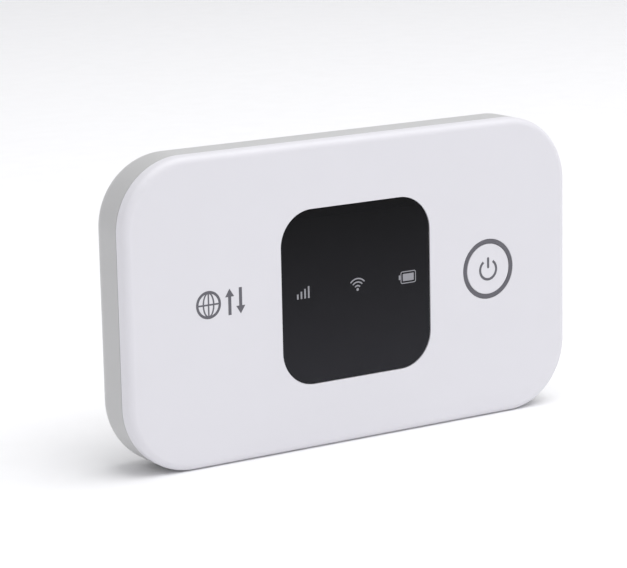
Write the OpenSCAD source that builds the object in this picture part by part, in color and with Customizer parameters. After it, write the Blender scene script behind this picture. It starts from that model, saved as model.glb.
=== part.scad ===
// Pocket mobile hotspot that stands on its long edge.
// Each piece is drawn lying on its back, with depths counted from the front face, and is then stood up:
// +X is the width, +Y runs from the front face to the back, +Z is up.

/* [Body] */
// Width of the body
body_w = 98; // [96:1:102]
// Height of the body as it stands
body_h = 58; // [58:1:61]
// Depth from the front face to the back
body_d = 13; // [13:0.1:13.6]
// Radius of the outline's four corners
corner_r = 13.2; // [12.4:0.1:13.6]
// Depth of the seam between the front and rear covers
seam_d = 3; // [3:0.1:3.1]
// Radius round the edge of the front face
front_edge_r = 1.4; // [0.8:0.1:1.4]
// Radius round the edge of the back
back_edge_r = 4.5; // [4:0.1:4.6]

/* [Walls] */
// Thickness of the front cover's face
face_wall = 1.6; // [1.6:0.05:1.65]
// Thickness of the front cover's side wall
front_side_wall = 1.5; // [1.4:0.05:1.5]
// Thickness of the rear cover
rear_wall = 1.2; // [1.1:0.05:1.2]
// Thickness of the mid frame's outer wall
frame_wall = 1; // [0.8:0.1:1]
// Gap at the seam between the covers
seam_gap = 0.12; // [0.1:0.01:0.15]

/* [Window] */
// Side of the square display lens
lens_side = 33; // [32:0.5:33]
// Radius of the lens corners
lens_r = 6.7; // [6:0.1:6.8]
// Thickness of the lens
lens_t = 0.9; // [0.7:0.05:0.9]
// Width of the ledge that the lens is taped to
lens_ledge = 1.5; // [1.2:0.1:1.5]

/* [Power button] */
// Distance of the button from the body's centre
button_x = 30.2; // [29.5:0.1:31]
// Height of the button above mid-height
button_y = 0.25; // [0:0.05:0.3]
// Outer radius of the dark ring
ring_r = 5.85; // [5.8:0.05:6]
// Width of the dark ring
ring_band = 0.85; // [0.8:0.05:1]
// Travel of the button
button_travel = 0.3; // [0.2:0.05:0.3]

/* [Battery] */
// Length of the battery with its end caps
battery_w = 62; // [58:1:62]
// Height of the battery
battery_h = 45; // [42:1:45]
// Thickness of the battery
battery_t = 4.3; // [4:0.1:4.3]
// Centre of the battery along the width
battery_x = -5; // [-6:0.5:-5]

/* [Board] */
// Depth of the main board's front face
board_d = 4; // [4:0.05:4.1]
// Thickness of the main board
board_t = 0.8; // [0.6:0.1:0.8]
// Height of the shield cans
can_h = 1.6; // [1.4:0.1:1.6]

/* [Card] */
// Length of the SIM card
sim_w = 15; // [15:0.1:15]
// Width of the SIM card
sim_h = 12; // [12:0.1:12]
// Distance that the SIM card slides to come out of its cage
sim_travel = 12; // [8:1:12]

/* [Hidden] */
$fn = 64;

// Layers, as depths from the front face.
lens_d = 0.1;
tape_t = 0.1;
board_back = board_d + board_t;
deck_d = 6.3;
deck_t = 0.7;
deck_back = deck_d + deck_t;
battery_d = deck_back + 0.15;
battery_back = battery_d + battery_t;
bay_back = battery_back - 0.15;
frame_front = face_wall + 0.1;
frame_back = 9.5;

// Outlines, as insets from the body's outer edge.
frame_inset = front_side_wall + 0.1;
frame_inside = frame_inset + frame_wall;
board_inset = frame_inside + 0.3;

// Lens opening.
pocket_gap = 0.1;
opening = lens_side - 2 * lens_ledge;
opening_r = lens_r - lens_ledge;

// Power button.
cap_r = ring_r - ring_band - 0.06;
cap_bore_r = cap_r + 0.09;
ring_seat_d = 1;
flange_t = 0.6;
flange_d = face_wall + 0.1;
hub_r = 1.5;
hub_back = flange_d + flange_t + 0.25;
plunger_r = 1;
plunger_d = hub_back + 0.02;
switch_side = 5.2;
switch_h = 1.05;

// Screws and their posts.
screw_x = 41;
screw_y = 21;
screw_r = 0.7;
screw_head_r = 1.3;
screw_head_t = 0.7;
screw_tip_d = 2.4;
post_r = 1.9;

// Battery bay.
bay_gap = 0.1;
bay_wall = 0.8;
cap_end_w = 2;
wrap_t = 0.1;
cell_w = battery_w - 2 * cap_end_w;
cell_h = battery_h - 2 * wrap_t;
cell_t = battery_t - 2 * wrap_t;
battery_end = battery_x + battery_w / 2;
connector_y = -12;
connector_h = 9;
connector_x = battery_end + 0.6;
connector_w = 3.2;

// USB socket.
usb_w = 7.6;
usb_t = 2.65;
usb_wall = 0.25;
usb_mouth = body_w / 2 - rear_wall - 0.3;
usb_len = 5.2;
usb_d = board_back + 0.05;

// SIM holder.
sim_x = -22.5;
sim_y = 8;
sim_t = 0.76;
sim_d = board_back + 0.6;
cage_len = 12;
cage_wall = 0.2;
cage_gap = 0.15;
cage_back = sim_d + sim_t + 0.09 + cage_wall;

// Reset switch.
reset_x = 33;
reset_y = -2;
reset_r = 0.45;
reset_body = 3;

// Icon positions behind the lens.
icon_x = [-11.9, 0.2, 11.4];
icon_y = 1.1;

// Stands a piece up: depth from the front face then runs along +Y.
module stand() {
    translate([0, body_d / 2, body_h / 2]) rotate([90, 0, 0]) children();
}

// Turns an outline into a slab between two depths.
module slab(d1, d2) {
    translate([0, 0, body_d - d2]) linear_extrude(d2 - d1) children();
}

// Runs a section drawn in height and depth along the width.
module along_x(x1, x2) {
    translate([x1, 0, body_d]) rotate([90, 0, 90]) linear_extrude(x2 - x1) children();
}

module rounded_rect(w, h, r) {
    square([w - 2 * r, h], center = true);
    square([w, h - 2 * r], center = true);
    for (sx = [-1, 1], sy = [-1, 1])
        translate([sx * (w / 2 - r), sy * (h / 2 - r)]) circle(r);
}

// Outline of the body, moved inwards by an inset.
module body_outline(inset) {
    rounded_rect(body_w - 2 * inset, body_h - 2 * inset, corner_r - inset);
}

module box_at(x, y, w, h) {
    translate([x, y]) square([w, h], center = true);
}

// Section of a plate's rim: r across, t thick, its top edge rounded by e.
module rim_section(r, t, e) {
    square([r - e, t]);
    square([r, t - e]);
    translate([r - e, t - e]) circle(e);
}

// Plate with round corners whose top edge is rounded all the way round.
module rounded_plate(w, h, r, t, e) {
    translate([0, 0, t / 2]) cube([w - 2 * r, h - 2 * r, t], center = true);
    for (k = [0 : 3]) {
        side_x = k == 0 || k == 3 ? 1 : -1;
        side_y = k < 2 ? 1 : -1;
        half = k % 2 == 0 ? w / 2 : h / 2;
        run = (k % 2 == 0 ? h : w) - 2 * r;
        translate([side_x * (w / 2 - r), side_y * (h / 2 - r), 0])
            rotate([0, 0, 90 * k]) rotate_extrude(angle = 90) rim_section(r, t, e);
        rotate([0, 0, 90 * k]) translate([half - r, 0, 0])
            rotate([90, 0, 0]) linear_extrude(run, center = true) rim_section(r, t, e);
    }
}

// The rear cover's outer or inner form, from a depth to its back, moved inwards by an inset.
module rear_form(inset, d1) {
    back = body_d - inset;
    translate([0, 0, body_d - d1]) mirror([0, 0, 1])
        rounded_plate(body_w - 2 * inset, body_h - 2 * inset, corner_r - inset,
            back - d1, back_edge_r - inset);
}

module at_screws() {
    for (sx = [-1, 1], sy = [-1, 1])
        translate([sx * screw_x, sy * screw_y]) children();
}

// Can with open underside, standing on the board's front face.
module shield_can(x, y, w, h) {
    wall = 0.2;
    difference() {
        slab(board_d - can_h, board_d) translate([x, y]) rounded_rect(w, h, 0.8);
        slab(board_d - can_h + wall, board_d + 1)
            translate([x, y]) rounded_rect(w - 2 * wall, h - 2 * wall, 0.6);
        for (i = [-2 : 2])
            slab(board_d - can_h - 1, board_d - can_h + 1)
                translate([x + i * w / 6, y + h / 2 - 2]) circle(0.5);
    }
}

// Chip with a slightly smaller raised top, on the board's front face.
module front_chip(x, y, w, h, t) {
    slab(board_d - t * 0.4, board_d) box_at(x, y, w, h);
    slab(board_d - t, board_d - t * 0.4) box_at(x, y, w - 0.6, h - 0.6);
}

module front_cover() {
    color("#E4E4E8") stand() difference() {
        union() {
            difference() {
                translate([0, 0, body_d - seam_d])
                    rounded_plate(body_w, body_h, corner_r, seam_d, front_edge_r);
                slab(face_wall, seam_d + 1) body_outline(front_side_wall);
            }
            slab(face_wall - 0.1, board_d) at_screws() circle(post_r);
            slab(face_wall - 0.1, face_wall + 0.8) rounded_rect(opening + 2, opening + 2, opening_r + 1);
        }
        slab(-1, lens_d + lens_t + tape_t)
            rounded_rect(lens_side + 2 * pocket_gap, lens_side + 2 * pocket_gap, lens_r + pocket_gap);
        slab(-1, seam_d + 1) rounded_rect(opening, opening, opening_r);
        slab(-1, ring_seat_d) translate([button_x, button_y]) circle(ring_r + 0.02);
        slab(-1, seam_d) translate([button_x, button_y]) circle(cap_bore_r);
        slab(screw_tip_d - 0.2, board_d + 1) at_screws() circle(screw_r + 0.05);
    }
}

module display_lens() {
    color("#1B1B1F") stand()
        slab(lens_d, lens_d + lens_t) rounded_rect(lens_side, lens_side, lens_r);
}

module lens_tape() {
    color("#3A3A3C") stand() slab(lens_d + lens_t, lens_d + lens_t + tape_t) difference() {
        rounded_rect(lens_side - 0.4, lens_side - 0.4, lens_r - 0.2);
        rounded_rect(opening + 0.2, opening + 0.2, opening_r + 0.1);
    }
}

module icon_film() {
    color("#2A2A2E") stand()
        slab(lens_d + lens_t, lens_d + lens_t + 0.15) rounded_rect(opening - 0.4, opening - 0.4, opening_r - 0.2);
}

module light_baffle() {
    color("#F2F2F0") stand() slab(lens_d + lens_t + 0.2, board_d - 0.05) difference() {
        translate([0, icon_y]) rounded_rect(opening - 1.4, 8, 1);
        for (x = icon_x)
            translate([x, icon_y]) rounded_rect(5.4, 5.4, 0.8);
    }
}

module status_leds() {
    color("#F4F1DC") stand() for (x = icon_x) {
        slab(board_d - 0.25, board_d) box_at(x, icon_y, 1.6, 0.8);
        slab(board_d - 0.6, board_d - 0.25) box_at(x, icon_y, 1.1, 0.8);
    }
}

module button_ring() {
    color("#66656B") stand() slab(0, ring_seat_d) translate([button_x, button_y]) difference() {
        circle(ring_r);
        circle(ring_r - ring_band);
    }
}

module power_button() {
    color("#E4E4E8") stand() {
        slab(0, flange_d + flange_t) translate([button_x, button_y]) circle(cap_r);
        slab(flange_d, flange_d + flange_t) translate([button_x, button_y]) circle(ring_r);
        slab(flange_d, hub_back) translate([button_x, button_y]) circle(hub_r);
    }
}

module power_plunger() {
    color("#2B2B2D") stand()
        slab(plunger_d, board_d - 0.2 - button_travel - 0.1) translate([button_x, button_y]) circle(plunger_r);
}

module power_switch() {
    color("#B9BABD") stand() difference() {
        slab(board_d - switch_h, board_d)
            translate([button_x, button_y]) rounded_rect(switch_side, switch_side, 0.5);
        slab(board_d - switch_h - 1, board_d - 0.2) translate([button_x, button_y]) circle(plunger_r + 0.05);
    }
}

module main_board() {
    color("#1F5B3A") stand() slab(board_d, board_back) difference() {
        body_outline(board_inset);
        at_screws() circle(screw_r + 0.3);
        translate([body_w / 2 - board_inset, usb_w / 2 + 0.9]) circle(0.6);
        translate([body_w / 2 - board_inset, -usb_w / 2 - 0.9]) circle(0.6);
    }
}

module baseband_can() {
    color("#C9CACC") stand() shield_can(-31, 0, 24, 34);
}

module radio_can() {
    color("#C9CACC") stand() shield_can(27.2, 15.8, 19.5, 14.5);
}

module wireless_can() {
    color("#C9CACC") stand() shield_can(27.2, -15.8, 19.5, 14.5);
}

module baseband_chip() {
    color("#222326") stand() front_chip(-31, 7, 12, 12, 0.9);
}

module memory_chip() {
    color("#222326") stand() front_chip(-34, -8, 9, 8, 0.8);
}

module power_chip() {
    color("#222326") stand() front_chip(-24, -8, 6, 6, 0.7);
}

module radio_chip() {
    color("#222326") stand() front_chip(23.5, 15.8, 7, 7, 0.8);
}

module power_amplifiers() {
    color("#2E2F33") stand() for (i = [0 : 2])
        front_chip(31.5, 11.3 + 4.5 * i, 3.2, 3.2, 0.7);
}

module wireless_chip() {
    color("#222326") stand() front_chip(26, -15.8, 6, 6, 0.7);
}

module clock_crystal() {
    color("#D5D5D2") stand() {
        slab(board_back, board_back + 0.3) box_at(-4, -16, 3.2, 2.5);
        slab(board_back + 0.3, board_back + 0.7) box_at(-4, -16, 2.8, 2.1);
    }
}

module power_inductors() {
    color("#55565A") stand() for (i = [0 : 1], j = [0 : 1])
        slab(board_back, board_back + 1.2)
            translate([10 + 5 * i, -12 - 5 * j]) rounded_rect(3, 3, 0.7);
}

module chip_capacitors() {
    color("#B08A5B") stand() for (i = [0 : 5], j = [0 : 2])
        slab(board_back, board_back + 0.5) box_at(-33 + 3 * i, -10 - 3 * j, 1.6, 0.8);
}

module thermal_pad() {
    color("#8FA3B8") stand() slab(face_wall + 0.05, board_d - can_h) box_at(-31, -1.5, 14, 24);
}

// Section of the USB socket, in height and depth, shrunk by an inset.
module usb_section(inset) {
    half = usb_w / 2 - inset;
    chamfer = 1;
    polygon([
        [-half, -usb_d - inset], [half, -usb_d - inset],
        [half, -usb_d - usb_t + chamfer], [half - chamfer, -usb_d - usb_t + inset],
        [-half + chamfer, -usb_d - usb_t + inset], [-half, -usb_d - usb_t + chamfer]
    ]);
}

module usb_shell() {
    color("#C4C6CA") stand() along_x(usb_mouth - usb_len, usb_mouth) difference() {
        usb_section(0);
        usb_section(usb_wall);
    }
}

module usb_tongue() {
    color("#1C1C1E") stand() {
        along_x(usb_mouth - usb_len, usb_mouth - usb_len + 1.2) usb_section(usb_wall + 0.02);
        along_x(usb_mouth - usb_len + 1, usb_mouth - 0.8)
            box_at(0, -usb_d - usb_wall - 0.7, 4, 0.6);
    }
}

module usb_contacts() {
    color("#D9B45B") stand() for (i = [-2 : 2])
        along_x(usb_mouth - usb_len + 1.3, usb_mouth - 1)
            box_at(0.65 * i, -usb_d - usb_wall - 1.03, 0.35, 0.06);
}

module reset_switch() {
    color("#B9BABD") stand() difference() {
        slab(board_back, deck_d - 0.1) translate([reset_x, reset_y]) rounded_rect(reset_body, reset_body, 0.3);
        slab(board_back + 0.3, deck_d + 1) translate([reset_x, reset_y]) circle(reset_r + 0.06);
    }
}

module reset_plunger() {
    color("#D8D8D6") stand()
        slab(board_back + 0.65, deck_d + 0.2) translate([reset_x, reset_y]) circle(reset_r);
}

module sim_base() {
    color("#1F1F22") stand() slab(board_back, board_back + 0.5) difference() {
        box_at(sim_x, sim_y, sim_w - 1, sim_h);
        for (i = [-1 : 1], s = [-1, 1])
            box_at(sim_x + 3.8 * s, sim_y + 2.5 * i, 3, 1.5);
    }
}

module sim_contacts() {
    color("#D9B45B") stand() for (i = [-1 : 1], s = [-1, 1]) {
        slab(board_back, board_back + 0.15) box_at(sim_x + 3.8 * s, sim_y + 2.5 * i, 2.6, 1.1);
        slab(board_back + 0.15, sim_d - 0.05) box_at(sim_x + 3.8 * s, sim_y + 2.5 * i, 0.8, 0.8);
    }
}

// Cage open towards the slide direction, with a stop tab at its closed end.
module sim_cage() {
    left = sim_x - sim_w / 2 - 0.35;
    outer_h = sim_h + 2 * (cage_gap + cage_wall);
    color("#C9CACC") stand() difference() {
        slab(board_back, cage_back)
            translate([left + cage_len / 2, sim_y]) square([cage_len, outer_h], center = true);
        slab(board_back - 1, cage_back - cage_wall)
            translate([left + cage_wall + cage_len / 2, sim_y])
                square([cage_len, outer_h - 2 * cage_wall], center = true);
        slab(board_back, cage_back + 1) translate([left + cage_len / 2 + 1, sim_y]) rounded_rect(5, 6, 1);
    }
}

module sim_card() {
    cut = 2.5;
    x1 = sim_x - sim_w / 2;
    x2 = sim_x + sim_w / 2;
    y1 = sim_y - sim_h / 2;
    y2 = sim_y + sim_h / 2;
    color("#F0F0EE") stand() slab(sim_d, sim_d + sim_t)
        polygon([[x1, y1], [x2, y1], [x2, y2 - cut], [x2 - cut, y2], [x1, y2]]);
}

module battery_connector() {
    color("#1F1F22") stand() difference() {
        slab(board_back, battery_d + 2.6)
            translate([connector_x + connector_w / 2, connector_y])
                square([connector_w, connector_h], center = true);
        for (i = [-1 : 1])
            slab(battery_d - 0.2, battery_d + 3)
                box_at(connector_x + 0.6, connector_y + 2.6 * i, 2, 1.2);
    }
}

module battery_springs() {
    color("#D9B45B") stand() for (i = [-1 : 1])
        slab(battery_d - 0.2, battery_d + 2.2) {
            box_at(connector_x + 1.4, connector_y + 2.6 * i, 0.3, 0.9);
            box_at(connector_x + 0.5, connector_y + 2.6 * i, 1.8, 0.3);
        }
}

// Feed clips: a foot on the board and a finger that reaches the antenna through the deck.
module antenna_clips() {
    color("#D9B45B") stand() for (p = [[-41, 10], [41, 12], [41, -12]]) {
        slab(board_back, board_back + 0.2) box_at(p[0], p[1], 1, 3);
        slab(board_back + 0.2, deck_back - 0.02) box_at(p[0], p[1] - 1.2, 0.8, 0.2);
    }
}

// Strip antenna on the deck, cut by slots from alternate sides into a meander.
module meander(x, y, w, h, turns) {
    pitch = h / turns;
    slab(deck_back, deck_back + 0.12) difference() {
        box_at(x, y, w, h);
        for (i = [1 : turns - 1])
            box_at(x + (i % 2 == 0 ? 1 : -1) * w * 0.2, y - h / 2 + i * pitch, w * 0.7, pitch * 0.35);
    }
}

module main_antenna() {
    color("#B8743C") stand() meander(-41.8, 0, 7, 34, 9);
}

module diversity_antenna() {
    color("#B8743C") stand() meander(39, 11.5, 11, 11, 5);
}

module wireless_antenna() {
    color("#B8743C") stand() meander(40.8, -11.5, 8, 11, 5);
}

module bay_rect(grow) {
    box_at(battery_x, 0, battery_w + 2 * grow, battery_h + 2 * grow);
}

// Pockets in the frame's outer wall behind the rear cover's snap ribs.
module at_snaps() {
    for (s = [-1, 1]) {
        for (x = [-26, 26])
            translate([x, s * body_h / 2]) rotate([0, 0, 90 - 90 * s]) children();
        for (y = s > 0 ? [-11, 11] : [-8, 8])
            translate([s * body_w / 2, y]) rotate([0, 0, -90 * s]) children();
    }
}

module mid_frame() {
    color("#2C2D30") stand() difference() {
        union() {
            slab(frame_front, frame_back) difference() {
                body_outline(frame_inset);
                body_outline(frame_inside);
            }
            slab(deck_d, deck_back) body_outline(frame_inset + 0.2);
            slab(deck_back - 0.1, bay_back) bay_rect(bay_gap + bay_wall);
            slab(board_back, deck_back) at_screws() circle(post_r);
        }
        slab(deck_back, bay_back + 1) bay_rect(bay_gap);
        // Room for the SIM card, its cage and its way out.
        slab(deck_d - 1, bay_back)
            box_at(sim_x + sim_travel / 2 - 0.2, sim_y, sim_w + sim_travel + 1.6, sim_h + 2.4);
        // Battery connector.
        slab(deck_d - 1, bay_back + 1)
            box_at(battery_end + 2, connector_y, 4.4, connector_h + 0.6);
        // Finger notch at the battery's far end.
        slab(deck_back + 1, bay_back + 1)
            box_at(battery_x - battery_w / 2, 0, 4, 16);
        // USB socket.
        along_x(usb_mouth - usb_len - 0.3, body_w / 2)
            box_at(0, -usb_d - usb_t / 2, usb_w + 0.5, usb_t + 0.6);
        slab(deck_d - 1, deck_back + 1)
            box_at(usb_mouth - usb_len / 2, 0, usb_len + 0.6, usb_w + 0.5);
        // Screws, reset pinhole and antenna feeds.
        slab(deck_d - 3, deck_back + 1) at_screws() circle(screw_r + 0.15);
        slab(deck_d - 1, deck_back + 1) translate([reset_x, reset_y]) circle(0.6);
        for (p = [[-41, 10], [41, 12], [41, -12]])
            slab(deck_d - 1, deck_back + 1) box_at(p[0], p[1] - 1.2, 1.4, 0.8);
        slab(4.4, 6) at_snaps() translate([0, -frame_inset]) square([7, 0.6], center = true);
    }
}

module frame_screws() {
    color("#8E9096") stand() difference() {
        union() {
            slab(deck_back, deck_back + screw_head_t) at_screws() circle(screw_head_r);
            slab(screw_tip_d, deck_back + 0.1) at_screws() circle(screw_r);
        }
        slab(deck_back + 0.3, deck_back + 2) at_screws() {
            square([1.5, 0.35], center = true);
            square([0.35, 1.5], center = true);
        }
    }
}

module bay_label() {
    color("#F4F4F2") stand() slab(deck_back, deck_back + 0.08)
        translate([battery_x + 17, -6]) rounded_rect(20, 26, 0.8);
}

module moisture_sticker() {
    color("#F6F1EE") stand() slab(deck_back, deck_back + 0.08) translate([battery_x - 16, -14]) circle(1.8);
}

module battery_cell() {
    color("#B7B9BC") stand() along_x(battery_x - cell_w / 2, battery_x + cell_w / 2)
        translate([0, -battery_d - battery_t / 2]) rounded_rect(cell_h, cell_t, 1.4);
}

module battery_caps() {
    color("#242427") stand() for (s = [-1, 1]) {
        inner = battery_x + s * cell_w / 2;
        outer = battery_x + s * battery_w / 2;
        along_x(min(inner, outer), max(inner, outer))
            translate([0, -battery_d - battery_t / 2]) rounded_rect(battery_h, battery_t, 1.5);
    }
}

module battery_wrap() {
    color("#E9E9EA") stand() along_x(battery_x - cell_w / 2, battery_x + cell_w / 2)
        translate([0, -battery_d - battery_t / 2]) difference() {
            rounded_rect(battery_h, battery_t, 1.5);
            rounded_rect(cell_h, cell_t, 1.4);
        }
}

module battery_terminals() {
    color("#D9B45B") stand() for (i = [-1 : 1])
        along_x(battery_end, battery_end + 0.05)
            box_at(connector_y + 2.6 * i, -battery_d - battery_t / 2, 1.6, 2.4);
}

module rear_cover() {
    color("#B4B5B6") stand() difference() {
        union() {
            difference() {
                rear_form(0, seam_d + seam_gap);
                rear_form(rear_wall, seam_d - 1);
            }
            slab(4.8, 5.6) at_snaps() translate([0, -rear_wall]) square([5.5, 0.4], center = true);
        }
        // USB cut-out.
        along_x(body_w / 2 - rear_wall - 1, body_w / 2 + 1)
            translate([0, -usb_d - usb_t / 2]) rounded_rect(usb_w + 1.4, usb_t + 1.1, 1.2);
        // Fingernail notch at the seam.
        along_x(body_w / 2 - rear_wall / 2, body_w / 2 + 1)
            translate([-12, -seam_d + 3]) circle(4.2);
    }
}

module cover_pad() {
    color("#3B3B3E") stand() slab(body_d - rear_wall - 0.2, body_d - rear_wall)
        translate([battery_x, 0]) rounded_rect(40, 12, 1);
}

front_cover();
display_lens();
lens_tape();
icon_film();
light_baffle();
status_leds();
button_ring();
power_button();
power_plunger();
power_switch();
main_board();
baseband_can();
radio_can();
wireless_can();
baseband_chip();
memory_chip();
power_chip();
radio_chip();
power_amplifiers();
wireless_chip();
clock_crystal();
power_inductors();
chip_capacitors();
thermal_pad();
usb_shell();
usb_tongue();
usb_contacts();
reset_switch();
reset_plunger();
sim_base();
sim_contacts();
sim_cage();
sim_card();
battery_connector();
battery_springs();
antenna_clips();
main_antenna();
diversity_antenna();
wireless_antenna();
mid_frame();
frame_screws();
bay_label();
moisture_sticker();
battery_cell();
battery_caps();
battery_wrap();
battery_terminals();
rear_cover();
cover_pad();
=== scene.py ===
"""Looks of a pocket mobile hotspot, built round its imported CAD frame.

Every piece is drawn in millimetres, in the layout of the part: x runs across, z runs up from
mid-height, and depth runs from the front face to the back. A finished mesh is scaled to metres.
"""

from __future__ import annotations

import sys

import logging
import math
from dataclasses import dataclass, field, replace
from enum import Enum

import bmesh
import bpy
from mathutils import Matrix, Vector


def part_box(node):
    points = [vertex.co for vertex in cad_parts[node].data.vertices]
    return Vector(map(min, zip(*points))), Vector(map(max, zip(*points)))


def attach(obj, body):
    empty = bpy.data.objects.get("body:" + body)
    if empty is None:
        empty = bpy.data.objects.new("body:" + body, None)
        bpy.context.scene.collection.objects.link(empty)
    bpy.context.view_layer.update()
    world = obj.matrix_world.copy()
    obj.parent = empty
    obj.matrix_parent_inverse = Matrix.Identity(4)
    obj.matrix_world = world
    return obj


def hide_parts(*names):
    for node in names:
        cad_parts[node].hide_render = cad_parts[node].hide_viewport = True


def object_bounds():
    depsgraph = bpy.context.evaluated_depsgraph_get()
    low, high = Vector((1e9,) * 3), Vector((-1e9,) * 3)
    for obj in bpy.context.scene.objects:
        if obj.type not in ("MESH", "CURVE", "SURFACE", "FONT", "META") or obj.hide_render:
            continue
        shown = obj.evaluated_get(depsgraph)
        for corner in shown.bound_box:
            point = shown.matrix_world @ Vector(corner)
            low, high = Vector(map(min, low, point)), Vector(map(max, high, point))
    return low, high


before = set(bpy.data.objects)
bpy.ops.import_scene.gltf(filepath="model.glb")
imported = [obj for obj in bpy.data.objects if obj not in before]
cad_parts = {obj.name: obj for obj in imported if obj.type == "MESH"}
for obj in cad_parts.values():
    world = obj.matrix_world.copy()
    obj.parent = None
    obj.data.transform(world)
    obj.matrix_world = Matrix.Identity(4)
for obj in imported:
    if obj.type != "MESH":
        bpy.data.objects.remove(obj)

LOG = logging.getLogger("hotspot")
MM = 0.001
CAD_LOW, CAD_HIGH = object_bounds()
FRONT_Y = CAD_LOW.y / MM
MID_Z = (CAD_LOW.z + CAD_HIGH.z) / 2 / MM

CORNER_STEPS = 24
ROUND_STEPS = 64
SHARP_DEG = 35.0
QUARTER_TURN = math.radians(90)
PRINT_MM = 0.02  # how far printed ink stands proud, so that it shows
MIDDLE = (0.0, 0.0)

Point = tuple[float, float]
Triple = tuple[float, float, float]
Outline = list[Point]
Ring = list[bmesh.types.BMVert]
Item = bpy.types.Object
Tree = bpy.types.NodeTree
Socket = bpy.types.NodeSocket


# ---------------------------------------------------------------- nodes and colour


def linear(hex_colour: str) -> tuple[float, ...]:
    """Turns an sRGB hex colour into linear light.

    Args:
        hex_colour: six hex digits after a hash sign.

    Returns:
        Linear red, green, blue and an alpha of one.
    """
    parts = [int(hex_colour[i : i + 2], 16) / 255 for i in (1, 3, 5)]
    light = [c / 12.92 if c <= 0.04045 else ((c + 0.055) / 1.055) ** 2.4 for c in parts]
    return (*light, 1.0)


def add_node(
    tree: Tree, kind: str, inputs: dict[object, object] | None = None, **settings: object
) -> bpy.types.Node:
    """Adds a node to a tree.

    Args:
        tree: the shader or geometry tree.
        kind: the node's type name.
        inputs: by name or place, a value, or what to link from: a socket, or a node for its
            first output.
        settings: properties of the node.

    Returns:
        The new node.
    """
    node = tree.nodes.new(kind)
    for name, value in settings.items():
        setattr(node, name, value)
    for name, value in (inputs or {}).items():
        source = value.outputs[0] if isinstance(value, bpy.types.Node) else value
        if isinstance(source, Socket):
            tree.links.new(source, node.inputs[name])
        else:
            node.inputs[name].default_value = source
    return node


def grade(tree: Tree, value: Socket, limits: Point, first: object, last: object) -> Socket:
    """Goes from one colour to another as a value goes from one limit to the other.

    Args:
        tree: the material's tree.
        value: the value that is followed.
        limits: what it is at the first and at the last colour.
        first: linear colour at the first limit, or the socket that gives it.
        last: linear colour at the last limit.

    Returns:
        The socket that gives the colour.
    """
    rise = {"Value": value, "From Min": limits[0], "From Max": limits[1]}
    mixed = {0: add_node(tree, "ShaderNodeMapRange", rise), 6: first, 7: last}
    return add_node(tree, "ShaderNodeMix", mixed, data_type="RGBA").outputs[2]


# ---------------------------------------------------------------- outlines


def arc(centre: Point, radius: float, start: float, end: float, steps: int) -> Outline:
    """Points along an arc.

    Args:
        centre: middle of the arc.
        radius: its radius.
        start: angle of the first point in degrees.
        end: angle of the last point in degrees.
        steps: number of chords.

    Returns:
        The points from start to end, both included.
    """
    turns = [math.radians(start + (end - start) * i / steps) for i in range(steps + 1)]
    return [(centre[0] + radius * math.cos(a), centre[1] + radius * math.sin(a)) for a in turns]


def circle(radius: float, centre: Point = MIDDLE, steps: int = ROUND_STEPS) -> Outline:
    """Points round a circle, without repeating the first."""
    return arc(centre, radius, 0.0, 360.0, steps)[:-1]


def oblong(size: Point, centre: Point = MIDDLE) -> Outline:
    """Corners of a rectangle, anticlockwise from the lower left."""
    ways = ((-1, -1), (1, -1), (1, 1), (-1, 1))
    return [(centre[0] + u * size[0] / 2, centre[1] + v * size[1] / 2) for u, v in ways]


def rounded(size: Point, radius: float, centre: Point = MIDDLE, steps: int = CORNER_STEPS) -> Outline:
    """Points round a rectangle with round corners.

    Args:
        size: full width and height.
        radius: corner radius.
        centre: middle of the rectangle.
        steps: chords in each corner.

    Returns:
        The points, anticlockwise from the lower end of the right side.
    """
    points: Outline = []
    corners = oblong((size[0] - 2 * radius, size[1] - 2 * radius), centre)
    for k, corner in enumerate(corners[1:] + corners[:1]):
        points += arc(corner, radius, 90.0 * k - 90.0, 90.0 * k, steps)
    return points


def bent_stroke(centre: Point, radius: float, start: float, end: float, width: float) -> Outline:
    """Outline of a stroke that follows an arc, with square ends.

    Args:
        centre: middle of the arc.
        radius: radius of the stroke's centreline.
        start: first angle in degrees.
        end: last angle in degrees.
        width: width of the stroke.

    Returns:
        The outline's points.
    """
    outer = arc(centre, radius + width / 2, start, end, 32)
    return outer + arc(centre, radius - width / 2, end, start, 32)


# ---------------------------------------------------------------- meshes


class Lay(Enum):
    """How a builder's rings lie."""

    DEPTH = "in x and z, stacked by depth"
    ACROSS = "in z and depth, stacked along x"
    LOOSE = "as by depth, but round the piece's own origin, for a template"


def place(x: float, z: float, depth: float) -> Vector:
    """A point of the part's layout as a point of the frame, in millimetres."""
    return Vector((x, FRONT_Y + depth, MID_Z + z))


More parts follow.
